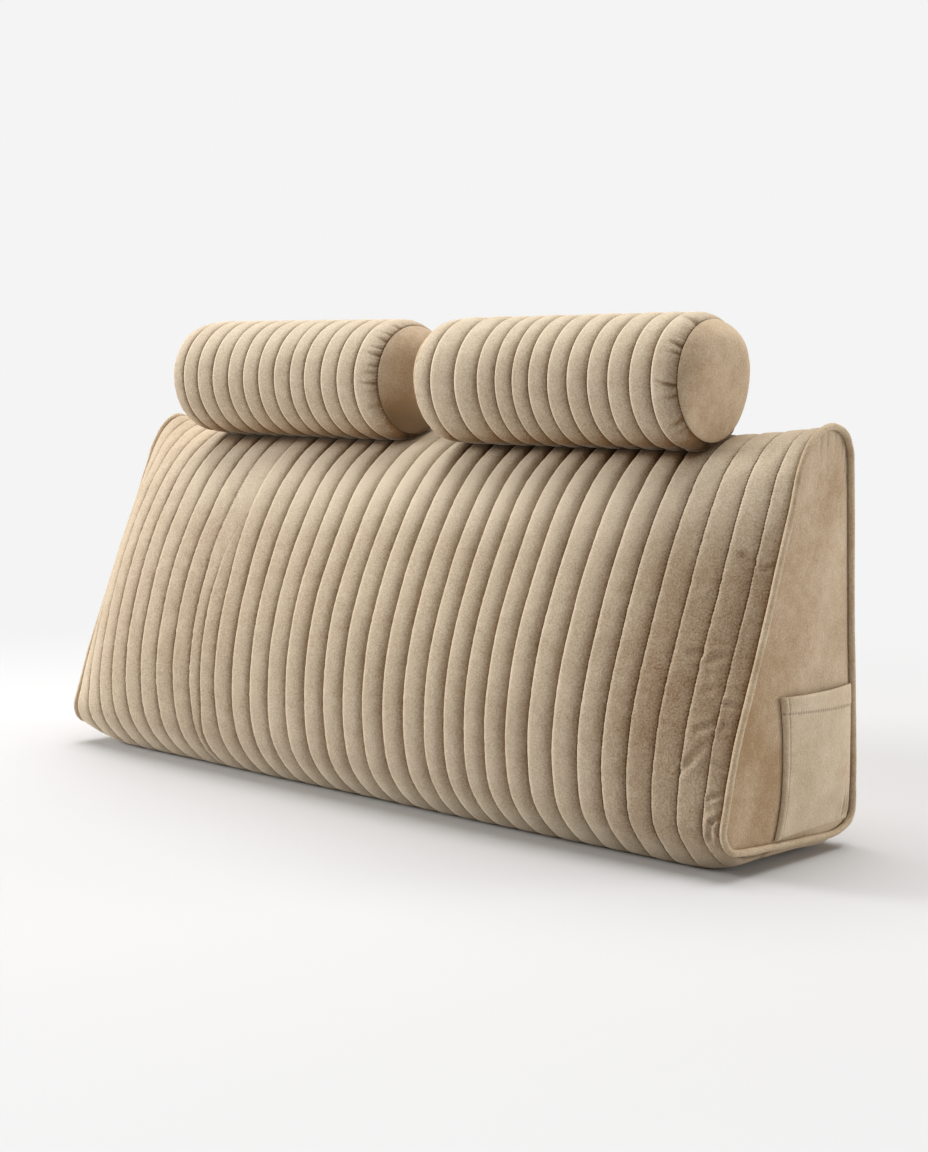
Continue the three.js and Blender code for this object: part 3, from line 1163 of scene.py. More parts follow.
        # The channel's number is part of the place, so that each has lumps and puckers of its own.
        lumps = self.lump * swell(run[None, :], rib[:, None] * 0.37 + x[:, None] * 0.5, 0.085, Seed.LUMPS)
        puckers = self.pucker * near * slack
        puckers = puckers * swell(run[None, :], rib[:, None] * 7.3 + x[:, None], mm(11), Seed.PUCKERS)
        waves = self.wave * swell(x[:, None], run[None, :], 0.3, Seed.WAVES)
        soft = np.sin(np.clip(run / run[-1], 0, 1) * math.pi) ** 0.4
        ribs = self.saddle(x, s) + tall + deep * np.minimum(1, row_share * 1.5)
        ribs += (lumps * pillow + puckers + waves) * soft * (1 - self.calm_under * pressed)
        return ribs - self._creased(x, z) - self._edge_dive(x)[:, None]

    @staticmethod
    def _creased(x: Array, z: Array) -> Array:
        """Depth of the creases over the front.

        Args:
            x: places along the pillow.
            z: heights, as places by rows.

        Returns:
            Depths as places by rows, negative at the creases' lips.
        """
        total = np.zeros(z.shape)
        here = np.stack([np.broadcast_to(x[:, None], z.shape), z], axis=2)
        for crease in CREASES:
            start, end = (np.array(point) * mm(1) for point in (crease.start, crease.end))
            along = np.clip(((here - start) @ (end - start)) / ((end - start) @ (end - start)), 0, 1)
            off = np.linalg.norm(here - start - along[..., None] * (end - start), axis=2)
            off = off / mm(crease.width_mm)
            total += mm(crease.depth_mm) * (np.exp(-off ** 2) - 0.5 * np.exp(-(off - 2) ** 2))
        return total

    def _edge_dive(self, x: Array) -> Array:
        """How far the cover turns in beside the end pipings."""
        left = np.clip(1 - (self.form.body_end - np.abs(x)) / mm(5), 0, 1)
        return self.edge_dive * left ** 2

    def _wander(self, x: Array, run: Array) -> Array:
        """How far the rows of stitches stray sideways."""
        calm = np.clip((self.form.body_end - np.abs(x)) / mm(40), 0, 1)[:, None]
        return self.stray * calm * swell(x[:, None] * 0.6, run[None, :], 0.16, Seed.WANDER)

    def _cap(self, loop: Array, side: int) -> Array:
        """Closes one end under its panel.

        Args:
            loop: the cover's points round that end.
            side: -1 at the left end and 1 at the right one.

        Returns:
            CAP_RINGS rings of points, from the pole out.
        """
        y, z = self.form.centre
        x = side * (self.form.body_end - mm(1))
        pole = np.array([x + self.form.origin[0], y + self.form.origin[1], z])
        rings = []
        for share in (0.0, 0.5, 0.95):
            ring = pole + (loop - pole) * share
            ring[:, 0] = pole[0]
            rings.append(ring)
        return np.array(rings)


@dataclass
class PlainPanel:
    """A plain sheet over the filled body, from one row of the section to another.

    Attributes:
        form: the wedge's form.
        first: row position of its upper or rear edge.
        last: row position of its other edge.
        seed: picks its unevenness.
        columns: points along the pillow.
        row_step: distance between points the other way.
        slack: height of its unevenness.
        turned_in: how far its rim turns in at the seams.
        outer: points of its outer face, once it is built.
    """

    form: WedgeForm
    first: float
    last: float
    seed: int
    columns: int = 150
    row_step: float = mm(7)
    slack: float = mm(0.9)
    turned_in: float = mm(1.4)
    outer: Array = field(init=False)

    def build(self) -> Cloth:
        """Makes the panel's mesh.

        Returns:
            The panel.
        """
        x = np.linspace(-self.form.body_end, self.form.body_end, self.columns)
        s, even = self.form.even_rows(np.linspace(self.first, self.last, 400), self.row_step, 2)
        rim = np.minimum(
            np.minimum(even, even[-1] - even)[None, :],
            (self.form.body_end - np.abs(x))[:, None],
        )
        edge = self.turned_in * np.clip(1 - rim / mm(8), 0, 1) ** 2
        slack = self.slack * swell(x[:, None], even[None, :], 0.16, self.seed)
        slack = slack * smooth_step(rim, 0, mm(50))
        # A panel that lies low rests on the floor and stays flat.
        flat = np.minimum(1, self.form.surface(np.array([0.0]), s)[..., 2].max() / mm(40))
        out = slack * flat - edge
        self.outer = self.form.surface(x, s, out)
        points, faces = layered(self.outer, self.form.surface(x, s, -self.form.sheet))
        return Cloth(points, faces)


@dataclass
class EndPanel:
    """The plain triangular end, inside its piping.

    Attributes:
        form: the wedge's form.
        side: which end.
        around: points round its edge.
        gathers_mm: where the cloth is gathered at the piping's top, as (y, z).
        gather_depth: how deep these small gathers are.
        gather_width: how wide.
        gather_reach: how far they run in from the piping.
        slack: height of its broad unevenness.
        ripple: height of its finer unevenness.
        painted_rear_light: painted light: how much paler the rear is painted than the front.
        mottle: how much it varies beside that.
        outer: points of its outer face, once it is built.
    """

    form: WedgeForm
    side: Side
    around: int = len(SECTION) * 20
    gathers_mm: tuple[Pair, ...] = (
        (62, 476), (76, 484), (93, 484), (107, 474), (113, 452), (116, 434),
    )
    gather_depth: float = mm(1.5)
    gather_width: float = mm(2.6)
    gather_reach: float = mm(11)
    slack: float = mm(0.8)
    ripple: float = mm(0.35)
    painted_rear_light: float = 0.3
    mottle: float = 0.12
    outer: Array = field(init=False)

    @property
    def seat(self) -> float:
        """Distance of the panel's outer face from the middle of the pillow, at its edge."""
        return self.form.body_end + self.form.gap + self.form.sheet

    def edge(self) -> Array:
        """Points by (y, z) of its edge."""
        return self.form.end_outline(self.side, rows_round(self.around), -self.form.panel_inset)

    def middle(self) -> Array:
        """The (y, z) of its middle in the frame."""
        return np.array([self.form.centre[0] + self.form.origin[1], self.form.centre[1]])

    def bow(self, y: Array, z: Array, share: Array) -> Array:
        """How far the panel bows out at points of it.

        Args:
            y: across the end.
            z: up the end.
            share: 0 at its middle and 1 at its edge.

        Returns:
            Heights over the panel's edge.
        """
        inside = 1 - share ** 2
        calm = smooth_step(1 - share, 0.0, 0.35)
        slack = self.slack * swell(y, z, 0.12, Seed.END_SLACK + self.side.value)
        slack = slack + self.ripple * swell(y, z, 0.045, Seed.END_RIPPLES)
        return self.form.crown * inside + slack * calm - self._gathers(y, z)

    def _gathers(self, y: Array, z: Array) -> Array:
        """Depth of the small gathers at the top, where the piping turns round the ridge.

        Args:
            y: across the end.
            z: up the end.

        Returns:
            The depth at each point.
        """
        here = np.stack([y - self.form.origin[1], z], axis=-1)
        total = np.zeros(np.shape(y))
        for place in self.gathers_mm:
            start = np.array(place) * mm(1)
            inward = np.array(self.form.centre) - start
            inward = inward / np.linalg.norm(inward)
            away = here - start
            along = np.maximum(0, away @ inward)
            across = away[..., 0] * inward[1] - away[..., 1] * inward[0]
            fade = -(across / self.gather_width) ** 2 - (along / self.gather_reach) ** 2
            total += self.gather_depth * np.exp(fade)
        return total

    def share_at(self, y: Array, z: Array) -> Array:
        """Which share of the way from the middle to the edge points lie at.

        Args:
            y: across the end.
            z: up the end.

        Returns:
            The shares, up to 1.
        """
        tiny, slip = 1e-12, 1e-6
        middle = self.middle()
        a = self.edge() - middle
        b = np.roll(a, -1, axis=0)
        step = b - a
        p = np.stack([y, z], axis=-1).reshape(-1, 1, 2) - middle
        across = p[..., 0] * step[:, 1] - p[..., 1] * step[:, 0]
        across = np.where(np.abs(across) < tiny, tiny, across)
        reach = (a[:, 0] * step[:, 1] - a[:, 1] * step[:, 0]) / across
        along = (a[:, 0] * p[..., 1] - a[:, 1] * p[..., 0]) / across
        hit = (reach > 0) & (along >= -slip) & (along <= 1 + slip)
        nearest = np.where(hit, reach, np.inf).min(axis=1)
        return np.minimum(1, 1 / nearest).reshape(np.shape(y))

    def build(self) -> Cloth:
        """Makes the panel's mesh.

        Returns:
            The panel.
        """
        shares = np.concatenate([np.linspace(0, 0.9, 22), [0.93, 0.955, 0.975, 0.99, 1.0]])
        edge, middle = self.edge(), self.middle()
        flat = middle + (edge - middle) * shares[:, None, None]
        share = np.broadcast_to(shares[:, None], flat.shape[:2])
        drop = mm(0.9) * smooth_step(share, 0.975, 1.0)
        bow = self.bow(flat[..., 0], flat[..., 1], share)
        # The last ring is the seam allowance, tucked in beside the piping.
        tucked = -self.form.piping_radius * 0.66
        tuck = self.form.end_outline(self.side, rows_round(self.around), tucked)[None]
        flat = np.concatenate([flat, tuck])
        away = np.concatenate([self.seat + bow - drop, np.full((1, self.around), self.seat - mm(0.9))])
        behind = np.concatenate([self.seat - self.form.sheet + bow * 0.9 - mm(0.1), away[-1:] - mm(1.1)])
        self.outer = self.stand(flat, away)
        points, faces = wound(np.concatenate([self.stand(flat, behind), self.outer[::-1]]))
        y, z = flat[..., 0] - self.form.origin[1], flat[..., 1]
        # Painted light: the rear is painted paler than the front. The mottle added to it is the cloth's own.
        brushed = self.painted_rear_light * (smooth_step(y, -mm(60), mm(120)) - 0.5)
        brushed = brushed + self.mottle * swell(y * 2.5, z, 0.16, Seed.END_NAP)
        return Cloth(points, faces, nap=wound_values(np.concatenate([brushed, brushed[::-1]])))

    def stand(self, flat: Array, away: Array) -> Array:
        """Points at a distance from the middle of the pillow, on this panel's side."""
        x = self.side.value * away + self.form.origin[0]
        return np.concatenate([x[..., None], flat], axis=2)


@dataclass
class Piping:
    """The round corded piping round one end: a bias-cut strip over a cord.

    Attributes:
        form: the wedge's form.
        side: which end.
        along: points along it.
        around: points round it.
        join: where along the base its two ends lap, as y in the wedge's own frame.
        lap: half the length of the lap.
        fill: share of the piping's radius that the cord and the strip take.
        unevenness: how much of the radius they vary by.
        lapped: how much thicker they are at the lap.
    """

    form: WedgeForm
    side: Side
    along: int = 880
    around: int = 14
    join: float = mm(36)
    lap: float = mm(4)
    fill: float = 0.91
    unevenness: float = 0.03
    lapped: float = 0.16

    def build(self) -> Cloth:
        """Makes the piping's mesh.

        Returns:
            The piping.
        """
        curves = self.form.curves(np.array([self.side.value * self.form.length / 2]))
        points, tangents = curves.at(rows_round(self.along))
        line, tangent = points[0], tangents[0]
        run = np.arange(self.along) / self.along
        angle = 2 * math.pi * np.arange(self.around) / self.around
        lumpy = self.unevenness * swell(run * 1.35, run * 0, 0.035, Seed.PIPING + self.side.value)
        lap = np.exp(-((line[:, 0] - self.join) / self.lap) ** 6) * (line[:, 1] < mm(60))
        thicker = (lumpy + self.lapped * lap)[:, None]
        radius = self.form.piping_radius * (self.fill + thicker + 0 * angle)
        out = radius * np.cos(angle)
        y = line[:, :1] - tangent[:, 1:] * out + self.form.origin[1]
        z = line[:, 1:] + tangent[:, :1] * out
        x = self.side.value * (self.form.length / 2) + radius * np.sin(angle) + self.form.origin[0]
        points, faces = ringed(np.stack([x, y, z], axis=2))
        return Cloth(points, faces)


@dataclass
class SidePocket:
    """The patch pocket on the right end panel: sewn at front, rear and foot, open at its mouth.

    Attributes:
        panel: the end panel that it is sewn to.
        stand_off: how far the mouth stands away from the panel.
        front: curve of its folded front edge from top to bottom, as (y, z) in millimetres.
        rear: curve of its rear edge beside the piping.
        hem: height of the turned hem at the mouth.
        fold: width of the folded front edge outside its stitches.
        height: from its foot to its mouth.
        fold_roll: how far the folded front edge rolls out.
        hem_thickness: of the hem's second layer.
        hem_sink: how far its stitches are sunk.
        fold_sink: the same for the stitches of the front edge.
        sewn_at: how far inside the hem's lower edge its stitches run.
        creases: where two slack creases rise beside the rear seam, as distances from it.
        crease_height: how high they rise.
        slack: height of its unevenness.
        outer: points of its outer face, once it is built.
    """

    panel: EndPanel
    stand_off: float = mm(8)
    front: tuple[Pair, ...] = ((-18, 197), (3, 96), (-19, 33))
    rear: tuple[Pair, ...] = ((130, 196), (137.5, 60), (127, 35))
    hem: float = mm(17)
    fold: float = mm(8.5)
    height: float = mm(162)
    fold_roll: float = mm(2.4)
    hem_thickness: float = mm(1.0)
    hem_sink: float = mm(0.9)
    fold_sink: float = mm(2.0)
    sewn_at: float = mm(1.5)
    creases: Pair = (mm(4.5), mm(11))
    crease_height: float = mm(1.1)
    slack: float = mm(0.7)
    outer: Array = field(init=False)

    @staticmethod
    def _curve(ends: Sequence[Pair], t: Array) -> Array:
        """A curve through its first and last points, drawn to the middle one.

        Args:
            ends: the three points, in millimetres.
            t: places along the curve, from 0 to 1.

        Returns:
            Its points.
        """
        a, b, c = (np.array(point) * mm(1) for point in ends)
        t = t[..., None]
        return (1 - t) ** 2 * a + 2 * t * (1 - t) * b + t ** 2 * c

    def build(self) -> Cloth:
        """Makes the pocket's mesh.

        Returns:
            The pocket.
        """
        parts = [(0, 0.08, 16), (0.08, 0.86, 44), (0.86, 0.97, 20), (0.97, 1, 6)]
        u = np.unique(np.concatenate([np.linspace(*part) for part in parts]))
        parts = [(0, 0.84, 60), (0.84, 0.94, 14), (0.94, 1, 12)]
        v = np.unique(np.concatenate([np.linspace(*part) for part in parts]))
        u, v = (grid.T for grid in np.meshgrid(u, v))
        front, rear = self._curve(self.front, 1 - v), self._curve(self.rear, 1 - v)
        flat = front + (rear - front) * u[..., None]
        width = np.linalg.norm(rear - front, axis=2)
        from_front, from_rear = u * width, (1 - u) * width
        from_foot, from_mouth = v * self.height, (1 - v) * self.height
        flat = flat + np.array([self.panel.form.origin[1], 0.0])
        share = self.panel.share_at(flat[..., 0], flat[..., 1])
        seat = self.panel.seat + self.panel.bow(flat[..., 0], flat[..., 1], share) + 2 * self.panel.form.gap
        lift = self.stand_off * np.sin(math.pi * u) ** 0.7 * v ** 0.8
        roll = self.fold_roll * np.sin(np.clip(from_front / self.fold, 0, 1) * math.pi) ** 0.8
        sewn = from_mouth - self.hem + self.sewn_at
        doubled = 1 - smooth_step(from_mouth, self.hem - self.sewn_at, self.hem + mm(0.5))
        hem = self.hem_thickness * doubled
        hem_line = -self.hem_sink * np.exp(-(sewn / mm(1.2)) ** 2)
        front_line = -self.fold_sink * np.exp(-((from_front - self.fold) / mm(1.2)) ** 2)
        slack = self.slack * swell(flat[..., 0], flat[..., 1], 0.06, Seed.POCKET)
        slack = slack * np.sin(math.pi * u) ** 0.5
        drawn = np.exp(-((from_foot - mm(34)) / mm(26)) ** 2)
        for place in self.creases:
            lip = np.exp(-((from_rear - place) / mm(1.8)) ** 2)
            valley = np.exp(-((from_rear - place - mm(3.2)) / mm(1.8)) ** 2)
            slack = slack + self.crease_height * drawn * (lip - valley)
        thick = self.panel.form.sheet + roll + hem + hem_line + front_line + slack
        rim = np.minimum.reduce([from_front, from_rear, from_foot, from_mouth])
        round_off = self.panel.form.sheet * 0.55 * np.clip(1 - rim / mm(2.2), 0, 1) ** 2
        self.outer = self.panel.stand(flat, seat + lift + thick - round_off)
        inner = self.panel.stand(flat, seat + lift + round_off * 0.3)
        points, faces = layered(self.outer, inner)
        seam = np.concatenate([np.abs(sewn).ravel(), np.ones(u.size)])
        run = np.concatenate([from_front.ravel(), np.zeros(u.size)])
        return Cloth(points, faces, seam, run)


# The bolsters


@dataclass(frozen=True)
class Pleat:
    """One small pleat where a bolster's last channel is gathered to its disc.

    Attributes:
        angle: degrees round the bolster, from the front (0) over the top (90).
        reach_mm: how far it runs from the seam.
        depth_mm: how deep it is.
        width: degrees from its middle to its flank.
        slant: degrees that it turns for each 10 mm from the seam.
        end: the end that it is at.
    """

    angle: float
    reach_mm: float
    depth_mm: float
    width: float = 1.4
    slant: float = 0.0
    end: Side = Side.RIGHT


@dataclass
class Bolster:
    """One round quilted bolster lying on the ridge, with a domed disc in each end.

    Attributes:
        form: the wedge that it lies on.
        side: which of the two.
        centre_mm: its middle as (x, y, z) in the wedge's own frame.
        rise: how far its right end is raised, in degrees.
        turn: how far it is turned on the ridge, in degrees.
        pleats: the larger pleats at its seams.
        channels_mm: widths of its channels from left to right.
        length: between its two disc seams.
        crest_radius: radius at the channels' crests.
        groove_radius: mean radius at the stitches, from which its last channels draw in.
        quilting: how far the crests stand over the grooves.
        seam_radius: radius of the disc seams.
        dome: how far the filling bows its discs out.
        dome_lean: how much more they bow at the top and less at the foot.
        seat_gap: between its underside and the crests that it lies on.
        front_points: points round its front.
        rear_points: points round its rear.
        steps: points across one channel.
        pleated: how much of each pleat's depth shows.
        gather: depth of the fine gathers at the seams.
        lump: height of the filling's lumps.
        soft_ends: how far from its left and its right seam its channels begin to draw in.
        painted_top_light: painted light: how much paler its top is painted.
        painted_foot_shade: painted shade: how much darker it is painted where it meets the wedge.
        painted_gather_shade: painted shade: how much darker for each millimetre of a gather's depth.
        paler: painted light: how much paler the whole roll is painted.
        painted_disc_shade: painted shade: how much darker the foot of a disc that faces the other bolster is
            painted.
    """

    form: WedgeForm
    side: Side
    centre_mm: tuple[float, float, float]
    rise: float
    turn: float = 2.2
    pleats: tuple[Pleat, ...] = ()
    channels_mm: tuple[float, ...] = ()
    length: float = mm(404)
    crest_radius: float = mm(81)
    groove_radius: float = mm(76.5)
    quilting: float = mm(6.6)
    seam_radius: float = mm(72)
    dome: float = mm(16)
    dome_lean: float = mm(17.5)
    seat_gap: float = mm(0.4)
    front_points: int = 190
    rear_points: int = 110
    steps: int = 14
    pleated: float = 0.75
    gather: float = mm(1.0)
    lump: float = mm(0.5)
    soft_ends: Pair = (mm(45), mm(30))
    painted_top_light: float = 0.2
    painted_foot_shade: float = 1.2
    painted_gather_shade: float = 0.12
    paler: float = 0.05
    painted_disc_shade: float = 0.9

    @property
    def edges(self) -> Array:
        """Places of its grooves and both seams along it."""
        widths = np.array(self.channels_mm)
        return (np.concatenate([[0], np.cumsum(widths)]) / widths.sum() - 0.5) * self.length

    @property
    def angles(self) -> Array:
        """Steps round the bolster in radians, closer over the front, where the pleats are finest.

        Returns:
            The steps, from below the front over the top to below the rear.
        """
        start, top, end = -75, 80, 285
        front = np.linspace(start, top, self.front_points, endpoint=False)
        rear = np.linspace(top, end, self.rear_points, endpoint=False)
        return np.radians(np.concatenate([front, rear]))

    def matrix(self) -> tuple[Array, Array]:
        """The bolster's turn and place.

        Returns:
            The rotation and the middle in the frame.
        """
        turn, rise = math.radians(self.turn), math.radians(-self.rise)
        about_z = np.array([
            [math.cos(turn), -math.sin(turn), 0],
            [math.sin(turn), math.cos(turn), 0],
            [0, 0, 1],
        ])
        about_y = np.array([
            [math.cos(rise), 0, math.sin(rise)],
            [0, 1, 0],
            [-math.sin(rise), 0, math.cos(rise)],
        ])
        centre = np.array(self.centre_mm) * mm(1) + np.array([*self.form.origin, 0.0])
        return about_z @ about_y, centre

    def crest_height(self, x: Array, y: Array) -> Array:
        """Height of the wedge's crests under points, from a table of places along and across it.

        Args:
            x: the points' x in the frame.
            y: their y in the frame.

        Returns:
            The heights.
        """
        left, right, front, rear, cell = -0.5, 0.55, -0.12, 0.16, 0.001
        places = np.linspace(left, right, 60)
        table = np.linspace(front, rear, 281)
        # Places stop just short of the table's far edges, so that each has a next one to blend with.
        short = 0.001
        s = np.linspace(ROW["collar"], ROW["back top"], 140)
        share = rib_share(s)
        cover = QuiltedCover(self.form)
        edges, relief = cover.grooves()
        relief = np.interp(places, (edges[1:] + edges[:-1]) / 2, relief)
        crests = cover.rib_height * share * relief[:, None] + cover.saddle(places, s)
        lines = self.form.surface(places, s, crests)
        last = len(places) - 1
        own = (x - self.form.origin[0] - left) / (right - left) * last
        own = np.clip(own, 0, last - short)
        low = np.floor(own).astype(int)
        heights = np.array([np.interp(table, line[:, 1], line[:, 2], left=0, right=0) for line in lines])
        column = np.clip((y - front) / cell, 0, len(table) - 1 - short)
        k = np.floor(column).astype(int)
        f, g = own - low, column - k
        near = heights[low, k] * (1 - g) + heights[low, k + 1] * g
        far = heights[low + 1, k] * (1 - g) + heights[low + 1, k + 1] * g
        return near * (1 - f) + far * f

    def build(self) -> Cloth:
        """Makes the roll's mesh, closed under its two discs.

        Returns:
            The roll.
        """
        x, rib, share = self._columns()
        angle = self.angles
        gathers = self._gathers(x, angle)
        radius = self._radius(x, rib, share, angle) - gathers
        body = self._place(x, angle, radius)
        caps = []
        for end in Side:
            rings = []
            for part in (0.0, 0.5, 0.9):
                out = self.length / 2 - mm(1.5) * (1 - part)
                ring = np.full((1, len(angle)), self.seam_radius * part)
                rings.append(self._place(np.array([end.value * out]), angle, ring)[0])
            caps.append(np.array(rings))
        stations = self._settled(np.concatenate([caps[0], body, caps[1][::-1]]))
        points, faces = wound(stations)
        width = np.diff(self.edges)[rib]
        seam = np.broadcast_to((np.minimum(share, 1 - share) * width)[:, None], radius.shape)
        run = np.broadcast_to(angle * self.groove_radius, radius.shape)
        # Painted light on the top; painted shade at the foot, where it meets the wedge, and in the gathers;
        # the flanks painted as on the cover; and the whole roll painted a little paler.
        degrees, shaded = np.degrees(angle), 24
        low = np.exp(-((degrees + 90) % 360 / shaded) ** 2)
        low = low + np.exp(-((270 - degrees) % 360 / shaded) ** 2)
        nap = self.painted_top_light * np.maximum(0, np.sin(angle)) ** 2 - self.painted_foot_shade * low
        nap = nap - self.painted_gather_shade * np.maximum(0, gathers) / mm(1)
        nap = nap + painted_flank_light(share, 0.9)[:, None] + self.paler
        return Cloth(
            points, faces, capped_values(seam, 1.0), capped_values(run, 0.0), capped_values(nap, 0.0),
        )

    def _columns(self) -> tuple[Array, Array, Array]:
        """Places along the bolster.

        Returns:
            The places, and the channel and the share across it of each.
        """
        edges = self.edges
        ribs = len(edges) - 1
        rib = np.append(np.repeat(np.arange(ribs), self.steps), ribs - 1)
        share = np.append(np.tile(cosine_steps(self.steps), ribs), 1.0)
        return edges[rib] + (edges[rib + 1] - edges[rib]) * share, rib, share

    def _radius(self, x: Array, rib: Array, share: Array, angle: Array) -> Array:
        """Distance of the cloth from the bolster's middle line.

        Args:
            x: places along the bolster.
            rib: the channel of each.
            share: the share across it of each.
            angle: steps round the bolster.

        Returns:
            The distances, as places by steps.
        """
        pillow = channel_profile(share)
        groove = self.crest_radius - self.quilting
        radius = groove + (self.crest_radius - groove) * pillow
        radius = radius - stitch_pinch(share)
        from_end = self.length / 2 - np.abs(x)
        fall = np.clip(1 - from_end / np.where(x < 0, *self.soft_ends), 0, 1)
        radius = radius - (self.groove_radius - self.seam_radius) * fall ** 2.2
        grid = np.repeat(radius[:, None], len(angle), axis=1)
        round_way = angle[None, :] * self.crest_radius
        lumps = self.lump * swell(round_way, rib[:, None] * 0.31, 0.07, Seed.BOLSTER_LUMPS + self.side.value)
        return grid + lumps * pillow[:, None]

    def _gathers(self, x: Array, angle: Array) -> Array:
        """Depth of the pleats and fine gathers at the two disc seams.

        Args:
            x: places along the bolster.
            angle: steps round it.

        Returns:
            The depths, as places by steps.
        """
        total = np.zeros((len(x), len(angle)))
        degrees = np.degrees(angle)
        for end in Side:
            away = np.maximum(0, self.length / 2 - end.value * x)[:, None]
            seed = Seed.GATHERS + end.value + 3 * self.side.value
            fine = 0.5 + 0.5 * swell(degrees, degrees * 0, 9, seed)
            total += self.gather * np.exp(-(away / mm(7)) ** 2) * np.clip(fine, 0, 1)
        for pleat in self.pleats:
            away = np.maximum(0, self.length / 2 - pleat.end.value * x)[:, None]
            turn = (degrees - pleat.angle - pleat.slant * away / mm(10) + 180) % 360 - 180
            valley = np.exp(-(turn / pleat.width) ** 2)
            lip = 0.4 * np.exp(-((turn - 2.2 * pleat.width) / pleat.width) ** 2)
            reach = np.exp(-(away / mm(pleat.reach_mm)) ** 2.5)
            total += self.pleated * mm(pleat.depth_mm) * reach * (valley - lip)
        return total

    def _place(self, x: Array, angle: Array, radius: Array) -> Array:
        """Points of the bolster in the frame.

        Args:
            x: places along the bolster.
            angle: steps round it.
            radius: distances from its middle line, as places by steps.

        Returns:
            The points, as places by steps by (x, y, z).
        """
        along = np.broadcast_to(x[:, None], radius.shape)
        return self._turned(np.stack([along, -radius * np.cos(angle), radius * np.sin(angle)], axis=2))

    def _turned(self, own: Array) -> Array:
        """Points of the bolster's own frame as they lie on the ridge."""
        rotation, centre = self.matrix()
        return own @ rotation.T + centre

    def _settled(self, points: Array) -> Array:
        """Flattens the underside on the crests that it lies on, and draws down what is close to them.

        Args:
            points: the round bolster's points.

        Returns:
            The settled points.
        """
        seat = self.crest_height(points[..., 0], points[..., 1]) + self.seat_gap
        below = points[..., 2] < self.centre_mm[2] * mm(1)
        above = np.maximum(0, points[..., 2] - seat)
        # Behind its middle, what hangs less than 3 mm over the crests lies on them, and what hangs
        # more than 15 mm over them stays.
        behind = smooth_step(points[..., 1], mm(self.centre_mm[1] - 10), mm(self.centre_mm[1] + 10))
        drawn = above * (1 - behind * (1 - smooth_step(above, mm(3), mm(15))))
        lifted = np.where(below, seat + drawn, points[..., 2])
        return np.concatenate([points[..., :2], lifted[..., None]], axis=2)

    def disc(self, end: Side) -> tuple[Cloth, float]:
        """Makes the domed disc sewn into one end.

        Args:
            end: which end of the bolster.

        Returns:
            The disc, and the area of its outer face.
        """
        shares = np.concatenate([np.linspace(0, 0.9, 16), [0.94, 0.97, 0.99, 1.0]])
        angle = self.angles
        radius = np.repeat((self.seam_radius - self.form.gap) * shares[:, None], len(angle), axis=1)
        y, z = radius * np.cos(angle), radius * np.sin(angle)
        slack = self.lump * swell(y, z, 0.05, Seed.DISC + 2 * self.side.value + end.value)
        slack = slack * (1 - shares[:, None] ** 4)
        bow = (self.dome + self.dome_lean * z / self.seam_radius) * (1 - shares[:, None] ** 4.5) + slack
        drop = mm(1.2) * smooth_step(shares[:, None], 0.95, 1.0)
        inner, outer = (
            self._turned(np.stack([end.value * (self.length / 2 + away), -y, z], axis=2))
            for away in (self.form.gap + bow, self.form.gap + self.form.sheet + bow - drop)
        )
        points, faces = wound(np.concatenate([inner, outer[::-1]]))
        # Painted shade at the foot of the disc that faces the other bolster.
        shaded = 1.0 if end.value == -self.side.value else 0.05
        deep = -self.painted_disc_shade * shaded * smooth_step(-z, -mm(10), mm(65))
        nap = wound_values(np.concatenate([deep, deep[::-1]]))
        return Cloth(points, faces, nap=nap), round_area(outer)


# Putting the pillow together


@dataclass
class Finishes:
    """The velvets of the cover.

    Attributes:
        quilted: of the wedge's front and the bolsters.
        plain: of the back, the base, the ends and the discs.
        pocket: of the side pocket.
        piping: of the two end pipings.
    """

    quilted: bpy.types.Material
    plain: bpy.types.Material
    pocket: bpy.types.Material
    piping: bpy.types.Material

    @classmethod
    def make(cls) -> "Finishes":
        """Makes the four materials.

        Returns:
            The finishes.
        """
        return cls(
            # The velvet is quilted through its wadding. Slopes that face the key light are painted paler, and
            # each channel gets a painted pale flank and a painted deep one, as light and shade.
            quilted=Velvet(
                "Quilted polyester velvet", "#d3c6b0", "#7c5e3e",
                painted_slope_light=0.22, middle=0.51, patch=0.28, brush=0.28, tuft=0.85, tuft_mm=2.2, stitched=True,
            ).material(),
            # The same velvet cut plain. No stitches cross it, so the marks that hands and folding
            # leave in the pile show as broad, soft mottling.
            plain=Velvet(
                "Plain polyester velvet", "#d6c5ad", "#9c8161",
                middle=0.45, patch=0.85, patch_mm=110, tuft=0.8,
            ).material(),
            # The same velvet doubled and turned at its edges. Its pile was stroked up, so it is the
            # palest piece, with smaller patches and one row of stitches along its hem.
            pocket=Velvet(
                "Pocket velvet", "#dccfba", "#ac9474",
                middle=0.53, patch=0.8, patch_mm=60, tuft=0.7, stitched=True, thread=0.3,
            ).material(),
            # The same velvet cut on the bias and drawn round a cord. The pile opens on the tight
            # curve, so it is mottled finely and the rib looks a little paler than the panels.
            piping=Velvet("Bias-cut piping velvet", "#d0c1a9", "#a28868", patch_mm=40, brush_mm=8).material(),
        )


